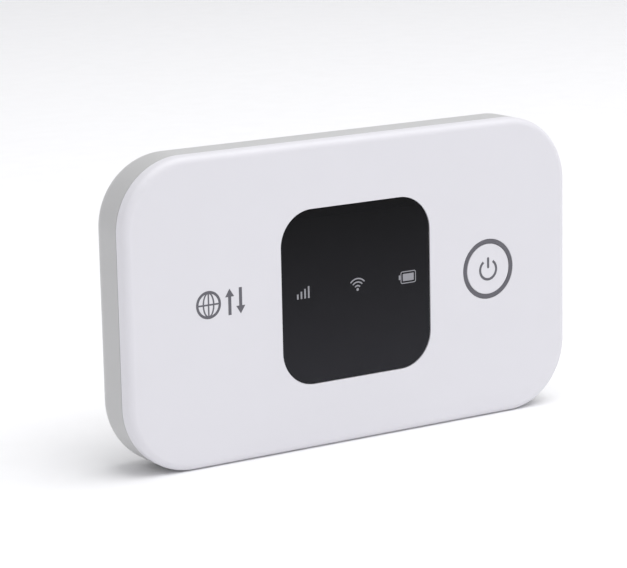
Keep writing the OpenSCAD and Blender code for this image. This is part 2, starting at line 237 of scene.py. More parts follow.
class Builder:
    """Builds one closed mesh from rings of points, in millimetres."""

    def __init__(self, lay: Lay = Lay.DEPTH) -> None:
        """Starts an empty mesh."""
        self.mesh = bmesh.new()
        self.lay = lay

    def ring(self, outline: Outline, level: float) -> Ring:
        """Adds a ring of vertices.

        Args:
            outline: its points in the ring's plane.
            level: where it lies along the axis.

        Returns:
            The vertices.
        """
        made = []
        for point in outline:
            x, z, depth = (level, *point) if self.lay is Lay.ACROSS else (*point, level)
            spot = Vector((x, depth, z)) if self.lay is Lay.LOOSE else place(x, z, depth)
            made.append(self.mesh.verts.new(spot))
        return made

    def band(self, first: Ring, second: Ring) -> None:
        """Joins two rings of equal length by a band of faces.

        Args:
            first: one ring.
            second: the other, with as many vertices.
        """
        for i, vert in enumerate(first):
            j = (i + 1) % len(first)
            self.mesh.faces.new((vert, first[j], second[j], second[i]))

    def fill(self, *rings: Ring) -> None:
        """Closes the flat area between an outer ring and any rings inside it.

        Args:
            rings: the outer ring first.
        """
        edges = []
        for ring in rings:
            for i, vert in enumerate(ring):
                pair = (vert, ring[(i + 1) % len(ring)])
                edges.append(self.mesh.edges.get(pair) or self.mesh.edges.new(pair))
        bmesh.ops.triangle_fill(self.mesh, use_beauty=True, use_dissolve=False, edges=edges)

    def cap(self, *rings: Ring) -> None:
        """Closes each ring on its own."""
        for ring in rings:
            self.fill(ring)

    def stack(self, outlines: list[tuple[Outline, float]]) -> tuple[Ring, Ring]:
        """Joins outlines at their levels by bands.

        Args:
            outlines: pairs of an outline and its level.

        Returns:
            The first and the last ring.
        """
        rings = [self.ring(outline, level) for outline, level in outlines]
        for first, second in zip(rings, rings[1:]):
            self.band(first, second)
        return rings[0], rings[-1]

    def sweep(
        self, size: Point, radius: float, section: Outline, centre: Point = MIDDLE
    ) -> tuple[Ring, Ring]:
        """Carries a wall's section round a rectangle with round corners.

        Args:
            size: full width and height of the rectangle.
            radius: its corner radius.
            section: pairs of an inset from the rectangle and a level.
            centre: middle of the rectangle.

        Returns:
            The first and the last ring.
        """
        outlines = []
        for inset, level in section:
            inner = (size[0] - 2 * inset, size[1] - 2 * inset)
            outlines.append((rounded(inner, radius - inset, centre), level))
        return self.stack(outlines)

    def turn(
        self, section: Outline, centre: Point = MIDDLE, steps: int = ROUND_STEPS
    ) -> tuple[Ring, Ring]:
        """Turns a section of radius and level pairs about an axis at the centre."""
        return self.stack([(circle(r, centre, steps), level) for r, level in section])

    def slab(self, outline: Outline, low: float, high: float, *holes: Outline) -> None:
        """Adds a flat plate.

        Args:
            outline: its edge.
            low: level of its first face.
            high: level of its second face.
            holes: outlines of holes through it.
        """
        walls = [self.stack([(points, low), (points, high)]) for points in (outline, *holes)]
        for rings in zip(*walls):
            self.fill(*rings)

    def block(self, size: Triple, centre: Triple = (0.0, 0.0, 0.0)) -> None:
        """Adds a box, given its size and middle in x, z and depth."""
        half = size[2] / 2
        self.slab(oblong(size[:2], centre[:2]), centre[2] - half, centre[2] + half)

    def piece(self, name: str) -> Item:
        """Turns the builder's mesh into an object with its faces outwards.

        Args:
            name: name of the piece.

        Returns:
            The object, in millimetres.
        """
        bmesh.ops.remove_doubles(self.mesh, verts=self.mesh.verts, dist=1e-4)
        item = show(name)
        put_back(self.mesh, item.data, outwards=True)
        return item


def show(name: str) -> Item:
    """Puts a new, empty mesh object in the scene at the origin.

    Args:
        name: name of the object and of its mesh.

    Returns:
        The object.
    """
    item = bpy.data.objects.new(name, bpy.data.meshes.new(name))
    bpy.context.scene.collection.objects.link(item)
    return item


def put_back(mesh: bmesh.types.BMesh, data: bpy.types.Mesh, outwards: bool = False) -> None:
    """Writes an edited mesh out and frees it.

    Args:
        mesh: the edited mesh.
        data: the mesh that it is written to.
        outwards: True to turn its faces outwards first.
    """
    if outwards:
        bmesh.ops.recalc_face_normals(mesh, faces=mesh.faces)
    mesh.to_mesh(data)
    mesh.free()


def flatten(item: Item) -> Item:
    """Turns what an object's modifiers make into its own plain mesh.

    Args:
        item: the object.

    Returns:
        The same object, without modifiers.
    """
    graph = bpy.context.evaluated_depsgraph_get()
    graph.update()
    data = bpy.data.meshes.new_from_object(
        item.evaluated_get(graph), preserve_all_data_layers=True, depsgraph=graph
    )
    item.modifiers.clear()
    item.data = data
    return item


class Join(Enum):
    """How one solid changes another."""

    CUT = "DIFFERENCE"
    FUSE = "UNION"


def join(item: Item, tool: Item, how: Join) -> None:
    """Cuts a tool from a piece, or fuses it to the piece, and discards the tool.

    Args:
        item: the piece.
        tool: the other solid.
        how: which of the two is done.
    """
    change = item.modifiers.new("join", "BOOLEAN")
    change.operation = how.value
    change.solver = "EXACT"
    change.object = tool
    flatten(item)
    bpy.data.objects.remove(tool)


def ease(item: Item, width: float) -> Item:
    """Rounds a piece's sharp edges.

    Args:
        item: the piece, in millimetres.
        width: width of the rounding.

    Returns:
        The same piece.
    """
    edge = item.modifiers.new("eased_edges", "BEVEL")
    edge.width = width
    edge.segments = 2
    edge.limit_method = "ANGLE"
    edge.angle_limit = math.radians(SHARP_DEG)
    return flatten(item)


def closed(item: Item) -> Item:
    """Fills the open ends of a piece and turns its faces outwards.

    Args:
        item: the piece.

    Returns:
        The same piece.
    """
    mesh = bmesh.new()
    mesh.from_mesh(item.data)
    bmesh.ops.holes_fill(mesh, edges=[e for e in mesh.edges if e.is_boundary])
    put_back(mesh, item.data, outwards=True)
    return item


def shade(item: Item) -> None:
    """Shades a piece smooth between its sharp edges, with its flat faces kept flat.

    Args:
        item: the piece.
    """
    mesh = bmesh.new()
    mesh.from_mesh(item.data)
    for face in mesh.faces:
        face.smooth = True
    for edge in mesh.edges:
        edge.smooth = edge.calc_face_angle(0.0) < math.radians(SHARP_DEG)
    put_back(mesh, item.data)
    item.modifiers.new("flat_faces", "WEIGHTED_NORMAL").keep_sharp = True
    flatten(item)


def deliver(item: Item, finish: Finish, *nodes: str, body: str = "housing") -> Item:
    """Finishes a piece: shades it, scales it to metres, dresses it and ties it to its body.

    Args:
        item: the piece, in millimetres.
        finish: its finish.
        nodes: CAD nodes that it stands for.
        body: the CAD body that it moves with.

    Returns:
        The same piece.
    """
    shade(item)
    item.data.transform(Matrix.Scale(MM, 4))
    item.data.materials.clear()
    item.data.materials.append(finish.material())
    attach(item, body)
    if nodes:
        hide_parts(*nodes)
    LOG.info("%s: %s, on %s, %d faces", item.name, finish.name, body, len(item.data.polygons))
    return item


def refine(node: str, name: str, edge: float, finish: Finish, body: str = "housing") -> Item:
    """Delivers a copy of a CAD node, with its edges rounded.

    Args:
        node: the CAD node.
        name: name of the new piece.
        edge: width of the rounding in millimetres.
        finish: its finish.
        body: the CAD body that it moves with.

    Returns:
        The new piece.
    """
    mesh = bmesh.new()
    mesh.from_mesh(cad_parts[node].data)
    mesh.transform(Matrix.Scale(1 / MM, 4))
    bmesh.ops.remove_doubles(mesh, verts=mesh.verts, dist=1e-3)
    flat = math.radians(0.5)
    bmesh.ops.dissolve_limit(mesh, angle_limit=flat, verts=mesh.verts, edges=mesh.edges)
    item = show(name)
    put_back(mesh, item.data)
    return deliver(ease(item, edge), finish, node, body=body)


# ---------------------------------------------------------------- geometry node trees


IN_STEPS = {"mode": "OFFSET", "count_mode": "TOTAL"}


def new_tree(name: str, inputs: dict[str, str]) -> tuple[Tree, bpy.types.NodeOutputs]:
    """Starts a geometry tree with named inputs, and with a geometry and a finish besides.

    Args:
        name: name of the tree.
        inputs: socket kind of each input by its name.

    Returns:
        The tree, and the sockets that give its inputs.
    """
    tree = bpy.data.node_groups.new(name, "GeometryNodeTree")
    for label, kind in {"Geometry": "Geometry", **inputs, "Finish": "Material"}.items():
        tree.interface.new_socket(name=label, in_out="INPUT", socket_type="NodeSocket" + kind)
    tree.interface.new_socket(name="Geometry", in_out="OUTPUT", socket_type="NodeSocketGeometry")
    return tree, add_node(tree, "NodeGroupInput").outputs


def end_tree(tree: Tree, shape: bpy.types.Node, finish: Socket) -> Tree:
    """Ends a tree in realized instances with their finish.

    Args:
        tree: the tree.
        shape: the node that makes its shape.
        finish: the socket that gives its material.

    Returns:
        The same tree.
    """
    real = add_node(tree, "GeometryNodeRealizeInstances", {"Geometry": shape})
    made = add_node(tree, "GeometryNodeSetMaterial", {"Geometry": real, "Material": finish})
    add_node(tree, "NodeGroupOutput", {"Geometry": made})
    return tree


def rows_tree() -> Tree:
    """Makes the tree that sets copies of a template out in rows and columns.

    Returns:
        The tree.
    """
    kinds = {"Template": "Object", "Start": "Vector", "Step": "Vector", "Count": "Int"}
    tree, given = new_tree("rows_of_pieces", {**kinds, "Row Step": "Vector", "Rows": "Int"})
    line = {"Count": given["Count"], "Start Location": given["Start"], "Offset": given["Step"]}
    row = add_node(tree, "GeometryNodeMeshLine", line, **IN_STEPS)
    line = {"Count": given["Rows"], "Offset": given["Row Step"]}
    column = add_node(tree, "GeometryNodeMeshLine", line, **IN_STEPS)
    grid = add_node(tree, "GeometryNodeInstanceOnPoints", {"Points": row, "Instance": column})
    spots = add_node(tree, "GeometryNodeRealizeInstances", {"Geometry": grid})
    source = {"Object": given["Template"], "As Instance": True}
    template = add_node(tree, "GeometryNodeObjectInfo", source, transform_space="ORIGINAL")
    pair = {"Points": spots, "Instance": template.outputs["Geometry"]}
    copies = add_node(tree, "GeometryNodeInstanceOnPoints", pair)
    return end_tree(tree, copies, given["Finish"])


def holes_tree() -> Tree:
    """Makes the tree that drills a row of round holes through a sheet, along its depth.

    Returns:
        The tree.
    """
    kinds = {"Start": "Vector", "Step": "Vector", "Count": "Int"}
    tree, given = new_tree("row_of_holes", {**kinds, "Radius": "Float", "Depth": "Float"})
    line = {"Count": given["Count"], "Start Location": given["Start"], "Offset": given["Step"]}
    row = add_node(tree, "GeometryNodeMeshLine", line, **IN_STEPS)
    size = {"Vertices": 24, "Radius": given["Radius"], "Depth": given["Depth"]}
    drill = add_node(tree, "GeometryNodeMeshCylinder", size)
    turned = {"Points": row, "Instance": drill, "Rotation": (QUARTER_TURN, 0, 0)}
    drills = add_node(tree, "GeometryNodeInstanceOnPoints", turned)
    solid = add_node(tree, "GeometryNodeRealizeInstances", {"Geometry": drills})
    pair = {"Mesh 1": given["Geometry"], "Mesh 2": solid}
    exact = {"operation": "DIFFERENCE", "solver": "EXACT"}
    drilled = add_node(tree, "GeometryNodeMeshBoolean", pair, **exact)
    return end_tree(tree, drilled, given["Finish"])


def bars_tree() -> Tree:
    """Makes the tree that draws a row of upright bars, each taller than the one before.

    Returns:
        The tree.
    """
    sizes = ("Pitch", "Bar Width", "First Height", "Rise", "Thickness")
    kinds = {"Start": "Vector", "Count": "Int", **{label: "Float" for label in sizes}}
    tree, given = new_tree("rising_bars", kinds)
    pitch = add_node(tree, "ShaderNodeCombineXYZ", {"X": given["Pitch"]})
    line = {"Count": given["Count"], "Start Location": given["Start"], "Offset": pitch}
    row = add_node(tree, "GeometryNodeMeshLine", line, **IN_STEPS)
    number = add_node(tree, "GeometryNodeInputIndex")
    rise = {0: number, 1: given["Rise"], 2: given["First Height"]}
    height = add_node(tree, "ShaderNodeMath", rise, operation="MULTIPLY_ADD")
    half = add_node(tree, "ShaderNodeMath", {0: height, 1: 0.5}, operation="MULTIPLY")
    lift = add_node(tree, "ShaderNodeCombineXYZ", {"Z": half})
    spots = add_node(tree, "GeometryNodeSetPosition", {"Geometry": row, "Offset": lift})
    size = {"X": given["Bar Width"], "Y": given["Thickness"], "Z": height}
    scale = add_node(tree, "ShaderNodeCombineXYZ", size)
    bar = add_node(tree, "GeometryNodeMeshCube")
    drawn = {"Points": spots, "Instance": bar, "Scale": scale}
    bars = add_node(tree, "GeometryNodeInstanceOnPoints", drawn)
    return end_tree(tree, bars, given["Finish"])


def wall_tree() -> Tree:
    """Makes the tree that carries a wall's section, its host, round a rectangle with round corners.

    Returns:
        The tree.
    """
    kinds = {"Width": "Float", "Height": "Float", "Corner": "Float", "Corner Steps": "Int"}
    tree, given = new_tree("wall_round_a_rectangle", {**kinds, "Middle": "Vector"})
    size = {"Width": given["Width"], "Height": given["Height"]}
    flat = add_node(tree, "GeometryNodeCurvePrimitiveQuadrilateral", size)
    bend = {"Curve": flat, "Radius": given["Corner"], "Count": given["Corner Steps"]}
    path = add_node(tree, "GeometryNodeFilletCurve", bend, mode="POLY")
    section = add_node(tree, "GeometryNodeMeshToCurve", {"Mesh": given["Geometry"]})
    wall = add_node(tree, "GeometryNodeCurveToMesh", {"Curve": path, "Profile Curve": section})
    turned = {"Geometry": wall, "Translation": given["Middle"], "Rotation": (QUARTER_TURN, 0, 0)}
    stood = add_node(tree, "GeometryNodeTransform", turned)
    return end_tree(tree, stood, given["Finish"])


def grow(item: Item, tree: Tree, finish: Finish, values: dict[str, object]) -> Item:
    """Runs a tree on an object and keeps the result as its mesh.

    Args:
        item: the host of the tree.
        tree: the geometry tree.
        finish: finish of the result.
        values: what goes into the tree's other inputs, by name.

    Returns:
        The same object.
    """
    maker = item.modifiers.new(tree.name, "NODES")
    maker.node_group = tree
    values = {**values, "Finish": finish.material()}
    for socket in tree.interface.items_tree:
        if socket.in_out == "INPUT" and socket.name in values:
            maker[socket.identifier] = values[socket.name]
    return flatten(item)


def in_rows(
    name: str,
    template: Item,
    finish: Finish,
    start: Triple,
    across: tuple[float, int] = (0.0, 1),
    up: tuple[float, int] = (0.0, 1),
) -> Item:
    """Sets copies of a template out in rows and columns.

    Args:
        name: name of the piece that the copies make together.
        template: a piece round its own origin, which is discarded.
        finish: finish of the copies.
        start: place of the first copy in x, z and depth.
        across: step and count along x.
        up: step and count along z.

    Returns:
        The new piece, in millimetres.
    """
    tree = bpy.data.node_groups.get("rows_of_pieces") or rows_tree()
    values = {"Template": template, "Start": place(*start), "Count": across[1], "Rows": up[1]}
    values |= {"Step": Vector((across[0], 0, 0)), "Row Step": Vector((0, 0, up[0]))}
    host = grow(show(name), tree, finish, values)
    bpy.data.objects.remove(template)
    return host


# ---------------------------------------------------------------- finishes


@dataclass(frozen=True)
class Finish:
    """A surface with one colour, soft patches, smears in its gloss, and a fine grain."""

    name: str
    slot: str
    colour: str
    roughness: float
    ior: float = 1.5
    metallic: float = 0.0
    specular: float = 0.5
    coat: float = 0.0
    grain_mm: float = 0.4
    relief_mm: float = 0.001
    patch_mm: float = 9.0
    patch_share: float = 0.02
    smear_share: float = 0.08
    stretch: Triple = (1.0, 1.0, 1.0)
    noise_span: Point = (0.3, 0.7)

    def paint(self, tree: Tree, spot: Socket, patches: Socket) -> Socket:
        """Makes the surface's colour: its base with slightly darker patches.

        Args:
            tree: the material's tree.
            spot: not used here.
            patches: a soft noise about its middle.

        Returns:
            The socket that gives the colour.
        """
        base = linear(self.colour)
        dark = (*(c * (1 - self.patch_share) for c in base[:3]), 1.0)
        return grade(tree, patches, self.noise_span, dark, base)

    def relief(self, tree: Tree, spot: Socket, grain: Socket) -> Socket:
        """The height that the bump follows: the grain as it is."""
        return grain

    def material(self) -> bpy.types.Material:
        """Makes the finish as a material, once, and then shares it.

        Returns:
            The material.
        """
        found = bpy.data.materials.get(self.name)
        if found:
            return found
        made = bpy.data.materials.new(self.name)
        made.use_nodes = True
        tree = made.node_tree
        tree.nodes.clear()
        spot = add_node(tree, "ShaderNodeTexCoord").outputs["Object"]
        stretched = {"Vector": spot, "Scale": self.stretch}
        spot = add_node(tree, "ShaderNodeMapping", stretched).outputs[0]
        noises = []
        for size in (self.grain_mm, self.patch_mm, self.patch_mm / 3):
            noise = {"Vector": spot, "Scale": 1 / (size * MM), "Detail": 3.0}
            noises.append(add_node(tree, "ShaderNodeTexNoise", noise).outputs[0])
        grain, patches, smears = noises
        rise = {"Distance": self.relief_mm * MM, "Height": self.relief(tree, spot, grain)}
        bump = add_node(tree, "ShaderNodeBump", rise)
        spread = dict(zip(("From Min", "From Max"), self.noise_span))
        spread["To Min"] = self.roughness * (1 - self.smear_share)
        spread["To Max"] = min(1.0, self.roughness * (1 + self.smear_share))
        look = {
            "Base Color": self.paint(tree, spot, patches),
            "Roughness": add_node(tree, "ShaderNodeMapRange", {"Value": smears, **spread}),
            "Metallic": self.metallic,
            "IOR": self.ior,
            "Specular IOR Level": self.specular,
            "Coat Weight": self.coat,
            "Normal": bump,
        }
        surface = add_node(tree, "ShaderNodeBsdfPrincipled", look)
        add_node(tree, "ShaderNodeOutputMaterial", {"Surface": surface})
        return made


@dataclass(frozen=True)
class SmokedAcrylic(Finish):
    """Tinted acrylic with a painted reflection of the floor that makes it paler towards its lower
    edge.
    """

    # Colour at the lower edge: a painted reflection of the bright floor, blended in towards the top.
    painted_reflection_colour: str = "#27272B"
    span: Point = ((MID_Z - 16.5) * MM, (MID_Z + 16.5) * MM)

    def paint(self, tree: Tree, spot: Socket, patches: Socket) -> Socket:
        """A tint with a painted floor reflection that lightens from the top of the window to the
        bottom.
        """
        up = add_node(tree, "ShaderNodeSeparateXYZ", {"Vector": spot}).outputs["Z"]
        return grade(tree, up, self.span, linear(self.painted_reflection_colour), linear(self.colour))


@dataclass(frozen=True)
class SolderMask(Finish):
    """Circuit board: lacquer over copper tracks, with bare glass epoxy at the cut edges."""

    track_colour: str = "#236A43"
    edge_colour: str = "#B9A66A"
    via_colour: str = "#C9B27A"
    track_mm: float = 0.6
    via_mm: float = 2.3

    def paint(self, tree: Tree, spot: Socket, patches: Socket) -> Socket:
        """Tracks in a paler green, gold vias, and fibre-coloured edges.

        Args:
            tree: the material's tree.
            spot: place on the piece.
            patches: not used here.

        Returns:
            The socket that gives the colour.
        """
        colour = linear(self.colour)
        for size, distance, spread, limits, over in (
            (self.track_mm, "CHEBYCHEV", 1.0, (0.34, 0.36), self.track_colour),
            (self.via_mm, "EUCLIDEAN", 0.8, (0.13, 0.1), self.via_colour),
        ):
            cells = {"Vector": spot, "Scale": 1 / (size * MM), "Randomness": spread}
            pattern = add_node(tree, "ShaderNodeTexVoronoi", cells, distance=distance)
            colour = grade(tree, pattern.outputs["Distance"], limits, colour, linear(over))
        facing = add_node(tree, "ShaderNodeNewGeometry").outputs["Normal"]
        depth = add_node(tree, "ShaderNodeSeparateXYZ", {"Vector": facing}).outputs["Y"]
        flat = add_node(tree, "ShaderNodeMath", {0: depth}, operation="ABSOLUTE").outputs[0]
        return grade(tree, flat, (0.8, 0.4), colour, linear(self.edge_colour))


@dataclass(frozen=True)
class Foam(Finish):
    """Closed-cell foam: small round cells with lighter walls."""

    def relief(self, tree: Tree, spot: Socket, grain: Socket) -> Socket:
        """Height of the cells."""
        cells = {"Vector": spot, "Scale": 1 / (self.grain_mm * MM)}
        return add_node(tree, "ShaderNodeTexVoronoi", cells).outputs["Distance"]


@dataclass(frozen=True)
class SparkTexture(Finish):
    """Plastic that copied a spark-eroded mould: two sizes of pits over each other."""

    pit_mm: float = 0.6

    def relief(self, tree: Tree, spot: Socket, grain: Socket) -> Socket:
        """Height of the fine grain and of the wider pits together.

        Args:
            tree: the material's tree.
            spot: place on the piece.
            grain: the fine grain.

        Returns:
            The socket that gives the height.
        """
        cells = {"Vector": spot, "Scale": 1 / (self.pit_mm * MM)}
        pits = add_node(tree, "ShaderNodeTexVoronoi", cells, feature="SMOOTH_F1")
        both = {0: grain, 1: pits.outputs["Distance"]}
        return add_node(tree, "ShaderNodeMath", both, operation="ADD").outputs[0]


@dataclass(frozen=True)
class DottedPaper(Finish):
    """Indicator paper with rows of small dots that would run when wet."""

    dot_colour: str = "#D98C94"
    dot_mm: float = 0.7
    dot_edge: Point = (0.3, 0.26)

    def paint(self, tree: Tree, spot: Socket, patches: Socket) -> Socket:
        """Paper with a regular grid of dots.

        Args:
            tree: the material's tree.
            spot: place on the piece.
            patches: not used here.

        Returns:
            The socket that gives the colour.
        """
        cells = {"Vector": spot, "Scale": 1 / (self.dot_mm * MM), "Randomness": 0.0}
        dots = add_node(tree, "ShaderNodeTexVoronoi", cells).outputs["Distance"]
        return grade(tree, dots, self.dot_edge, linear(self.colour), linear(self.dot_colour))


# White ABS from a lightly blasted mould. To the eye: an even satin white with a faint cool
# tint, whose gleam breaks up softly. The real grain of 0.05 mm is drawn at 0.2 mm to show.
SATIN_WHITE = Finish(
    "white_abs_satin_moulded", "front_white", "#DCDBE0", 0.43,
    grain_mm=0.2, relief_mm=0.0012, patch_mm=14.0, patch_share=0.012,
)
# The same ABS on the separately moulded key: the same white, so that only its gap shows.
KEY_WHITE = replace(SATIN_WHITE, name="white_abs_key_moulded", slot="button_white")
# Light grey ABS from a spark-eroded mould. To the eye: a dull, finely pitted grey. The real
# grain of 0.05 mm is drawn at 0.22 mm, and its pits at 0.5 mm, so that they show.
GREY_TEXTURED = SparkTexture(
    "light_grey_abs_spark_textured", "rear_grey", "#B9B9B9", 0.32,
    grain_mm=0.22, relief_mm=0.005, patch_mm=18.0, pit_mm=0.5,
)
# Smoked acrylic, cast and polished. To the eye: near black with a soft gleam, and paler low down by a
# painted reflection of the floor.
WINDOW = SmokedAcrylic(
    "smoked_acrylic_polished", "lens_black", "#060608", 0.2,
    ior=1.49, specular=0.1, grain_mm=4.0, relief_mm=0.0004,
)
# Grey paint sprayed on the moulded ring. To the eye: a soft, even mid-dark grey.
RING_GREY = Finish("dark_grey_paint_satin", "ring_grey", "#5D5C63", 0.45, relief_mm=0.0008)
# Pad-printed ink. To the eye: flat and dull beside the satin white.
INK = Finish("dark_grey_ink_pad_printed", "ring_grey", "#605F66", 0.6, relief_mm=0.0006)
# Screen-printed ink on the window. To the eye: pale grey against near black.
PALE_INK = Finish("pale_grey_ink_screen_printed", "film_dark", "#929298", 0.6)
# Charcoal PC-ABS, satin moulded. To the eye: black that greys over at a low angle.
FRAME_BLACK = Finish("charcoal_pc_abs_satin_moulded", "frame_black", "#2C2D30", 0.5, relief_mm=0.004)
# Foam tape, die cut. To the eye: a dead matt black.
TAPE = Finish("black_foam_tape_die_cut", "tape_black", "#2B2B2D", 0.8, relief_mm=0.006)
# Polyester film, printed black on its back. To the eye: black with a slight sheen.
FILM = Finish("black_polyester_film_printed", "film_dark", "#1C1C20", 0.35)
# White ABS, matt moulded. To the eye: a chalky white that spreads the light.
BAFFLE = Finish("white_abs_matt_moulded", "baffle_white", "#EEEEEA", 0.6, relief_mm=0.003)
# Silicone with phosphor, cast over the chip. To the eye: a clear pale yellow bead.
PHOSPHOR = Finish("silicone_phosphor_cast", "led_phosphor", "#F2E7A8", 0.3)
# Glass epoxy under solder mask. To the eye: glossy green with tracks and gold dots.
BOARD = SolderMask("glass_epoxy_solder_mask", "board_green", "#17553A", 0.35, coat=0.3)
# Tin-plated steel sheet, rolled. To the eye: bright grey with fine lines along its length.
CAN_TIN = Finish(
    "tin_plated_steel_rolled", "can_tin", "#C2C3C6", 0.34,
    metallic=1.0, relief_mm=0.002, stretch=(1.0, 1.0, 8.0),
)
# Filled epoxy, transfer moulded. To the eye: a dull black with a sandy grain.
CHIP = Finish("black_epoxy_transfer_moulded", "chip_epoxy", "#232326", 0.55, relief_mm=0.004)
# Nickel-plated lid, seam welded. To the eye: a warmer, paler metal than the cans.
CRYSTAL = replace(CAN_TIN, name="nickel_lid_seam_welded", slot="crystal_can", colour="#D2D2CE")
# Ferrite, pressed and fired. To the eye: a dry dark grey.
FERRITE = Finish("dark_ferrite_pressed", "ferrite", "#4A4B4F", 0.65, relief_mm=0.006)
# Ceramic, fired. To the eye: a smooth tan.
CERAMIC = Finish("tan_ceramic_fired", "capacitor_tan", "#A98A5E", 0.45, relief_mm=0.003)
# Silicone, cast soft. To the eye: a dull grey blue with a sticky unevenness.
THERMAL = Finish("grey_blue_silicone_cast", "thermal_silicone", "#7D90A5", 0.7, relief_mm=0.01)
# Steel, stamped and nickel plated. To the eye: bright with a slight haze from the press.
USB_STEEL = Finish(
    "nickel_plated_steel_stamped", "usb_steel", "#C6C8CB", 0.24, metallic=1.0, relief_mm=0.0015
)
# Glass-filled polymer, moulded. To the eye: a dull black with a faint grain.
SOCKET_BLACK = Finish("black_lcp_moulded", "socket_black", "#1B1B1D", 0.5, relief_mm=0.003)
# Gold flashed over nickel. To the eye: a clear pale gold.
GOLD = Finish("gold_over_nickel_plated", "contact_gold", "#E2BC63", 0.22, metallic=1.0)
# The switch cover's stamped steel: the socket's look in its own slot.
SWITCH_STEEL = replace(USB_STEEL, name="steel_cover_stamped", slot="switch_steel")
# Nylon, moulded black. To the eye: a waxy black.
NYLON_BLACK = Finish("black_nylon_moulded", "plunger_black", "#29292B", 0.5)
# Nylon, moulded without pigment. To the eye: a waxy off-white.
NYLON_WHITE = Finish("natural_nylon_moulded", "plunger_white", "#DEDDD8", 0.45)
# PVC, laminated. To the eye: a smooth white with a clear gleam.
CARD = Finish("white_pvc_laminated", "card_white", "#EFEFEC", 0.3, relief_mm=0.0008)
# Copper foil, etched. To the eye: a warm, slightly clouded copper.
COPPER = Finish("copper_foil_etched", "antenna_copper", "#C98452", 0.32, metallic=1.0)
# Steel, cold-headed and zinc plated. To the eye: grey metal with a slight haze.
ZINC = Finish("zinc_plated_steel_headed", "screw_steel", "#A3A6AB", 0.3, metallic=1.0)
# Polyester label, coated. To the eye: a clean white with a low sheen.
LABEL = Finish("white_polyester_label", "label_white", "#F1F1EF", 0.4, relief_mm=0.0008)
# Thermal-transfer ink. To the eye: a flat mid grey.
LABEL_INK = Finish("mid_grey_ink_printed", "label_white", "#8B8C90", 0.55)
# Indicator paper, printed. To the eye: an off-white with rows of pink dots.
PAPER = DottedPaper("indicator_paper_dotted", "sticker_pale", "#F4EFEB", 0.8)
# Aluminium can, deep drawn. To the eye: a pale metal with lines along the draw.
CELL = Finish(
    "aluminium_can_drawn", "cell_aluminium", "#BEC0C3", 0.36,
    metallic=1.0, relief_mm=0.002, stretch=(8.0, 1.0, 1.0),
)
# Black ABS, matt moulded. To the eye: a plain black with a fine grain.
CAP_BLACK = Finish("black_abs_matt_moulded", "cap_black", "#262628", 0.55, relief_mm=0.004)
# Polyester sleeve, shrunk on. To the eye: a smooth, even, glossy white.
WRAP = Finish(
    "white_polyester_wrap_glossy", "wrap_white", "#E9E9EB", 0.3,
    relief_mm=0.0006, patch_share=0.005, smear_share=0.02,
)
# Foam, cut from a closed-cell sheet. To the eye: a dull charcoal full of small bubbles.
FOAM = Foam("charcoal_foam_closed_cell", "pad_foam", "#3A3A3D", 0.9, grain_mm=0.3, relief_mm=0.06)


# ---------------------------------------------------------------- sub-assemblies


@dataclass(frozen=True)
class Span:
    """Box of a CAD node in the part's layout: x, depth and height from mid-height."""

    low: Vector
    high: Vector

    @classmethod
    def of(cls, node: str) -> Span:
        """The span of a node, read from the frame."""
        return cls(*(Vector(c) / MM - Vector((0, FRONT_Y, MID_Z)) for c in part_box(node)))

    @property
    def centre(self) -> Point:
        """Middle of the node in x and z."""
        return ((self.low.x + self.high.x) / 2, (self.low.z + self.high.z) / 2)

    @property
    def size(self) -> Point:
        """Width and height of the node."""
        return (self.high.x - self.low.x, self.high.z - self.low.z)

    @property
    def near(self) -> float:
        """Depth of the node's front."""
        return self.low.y

    @property
    def far(self) -> float:
        """Depth of the node's back."""
        return self.high.y


@dataclass
class BodyForm:
    """Outline that both covers share."""

    size: Point = ((CAD_HIGH.x - CAD_LOW.x) / MM, (CAD_HIGH.z - CAD_LOW.z) / MM)
    depth: float = (CAD_HIGH.y - CAD_LOW.y) / MM
    corner: float = 13.2
    seam: float = 3.0


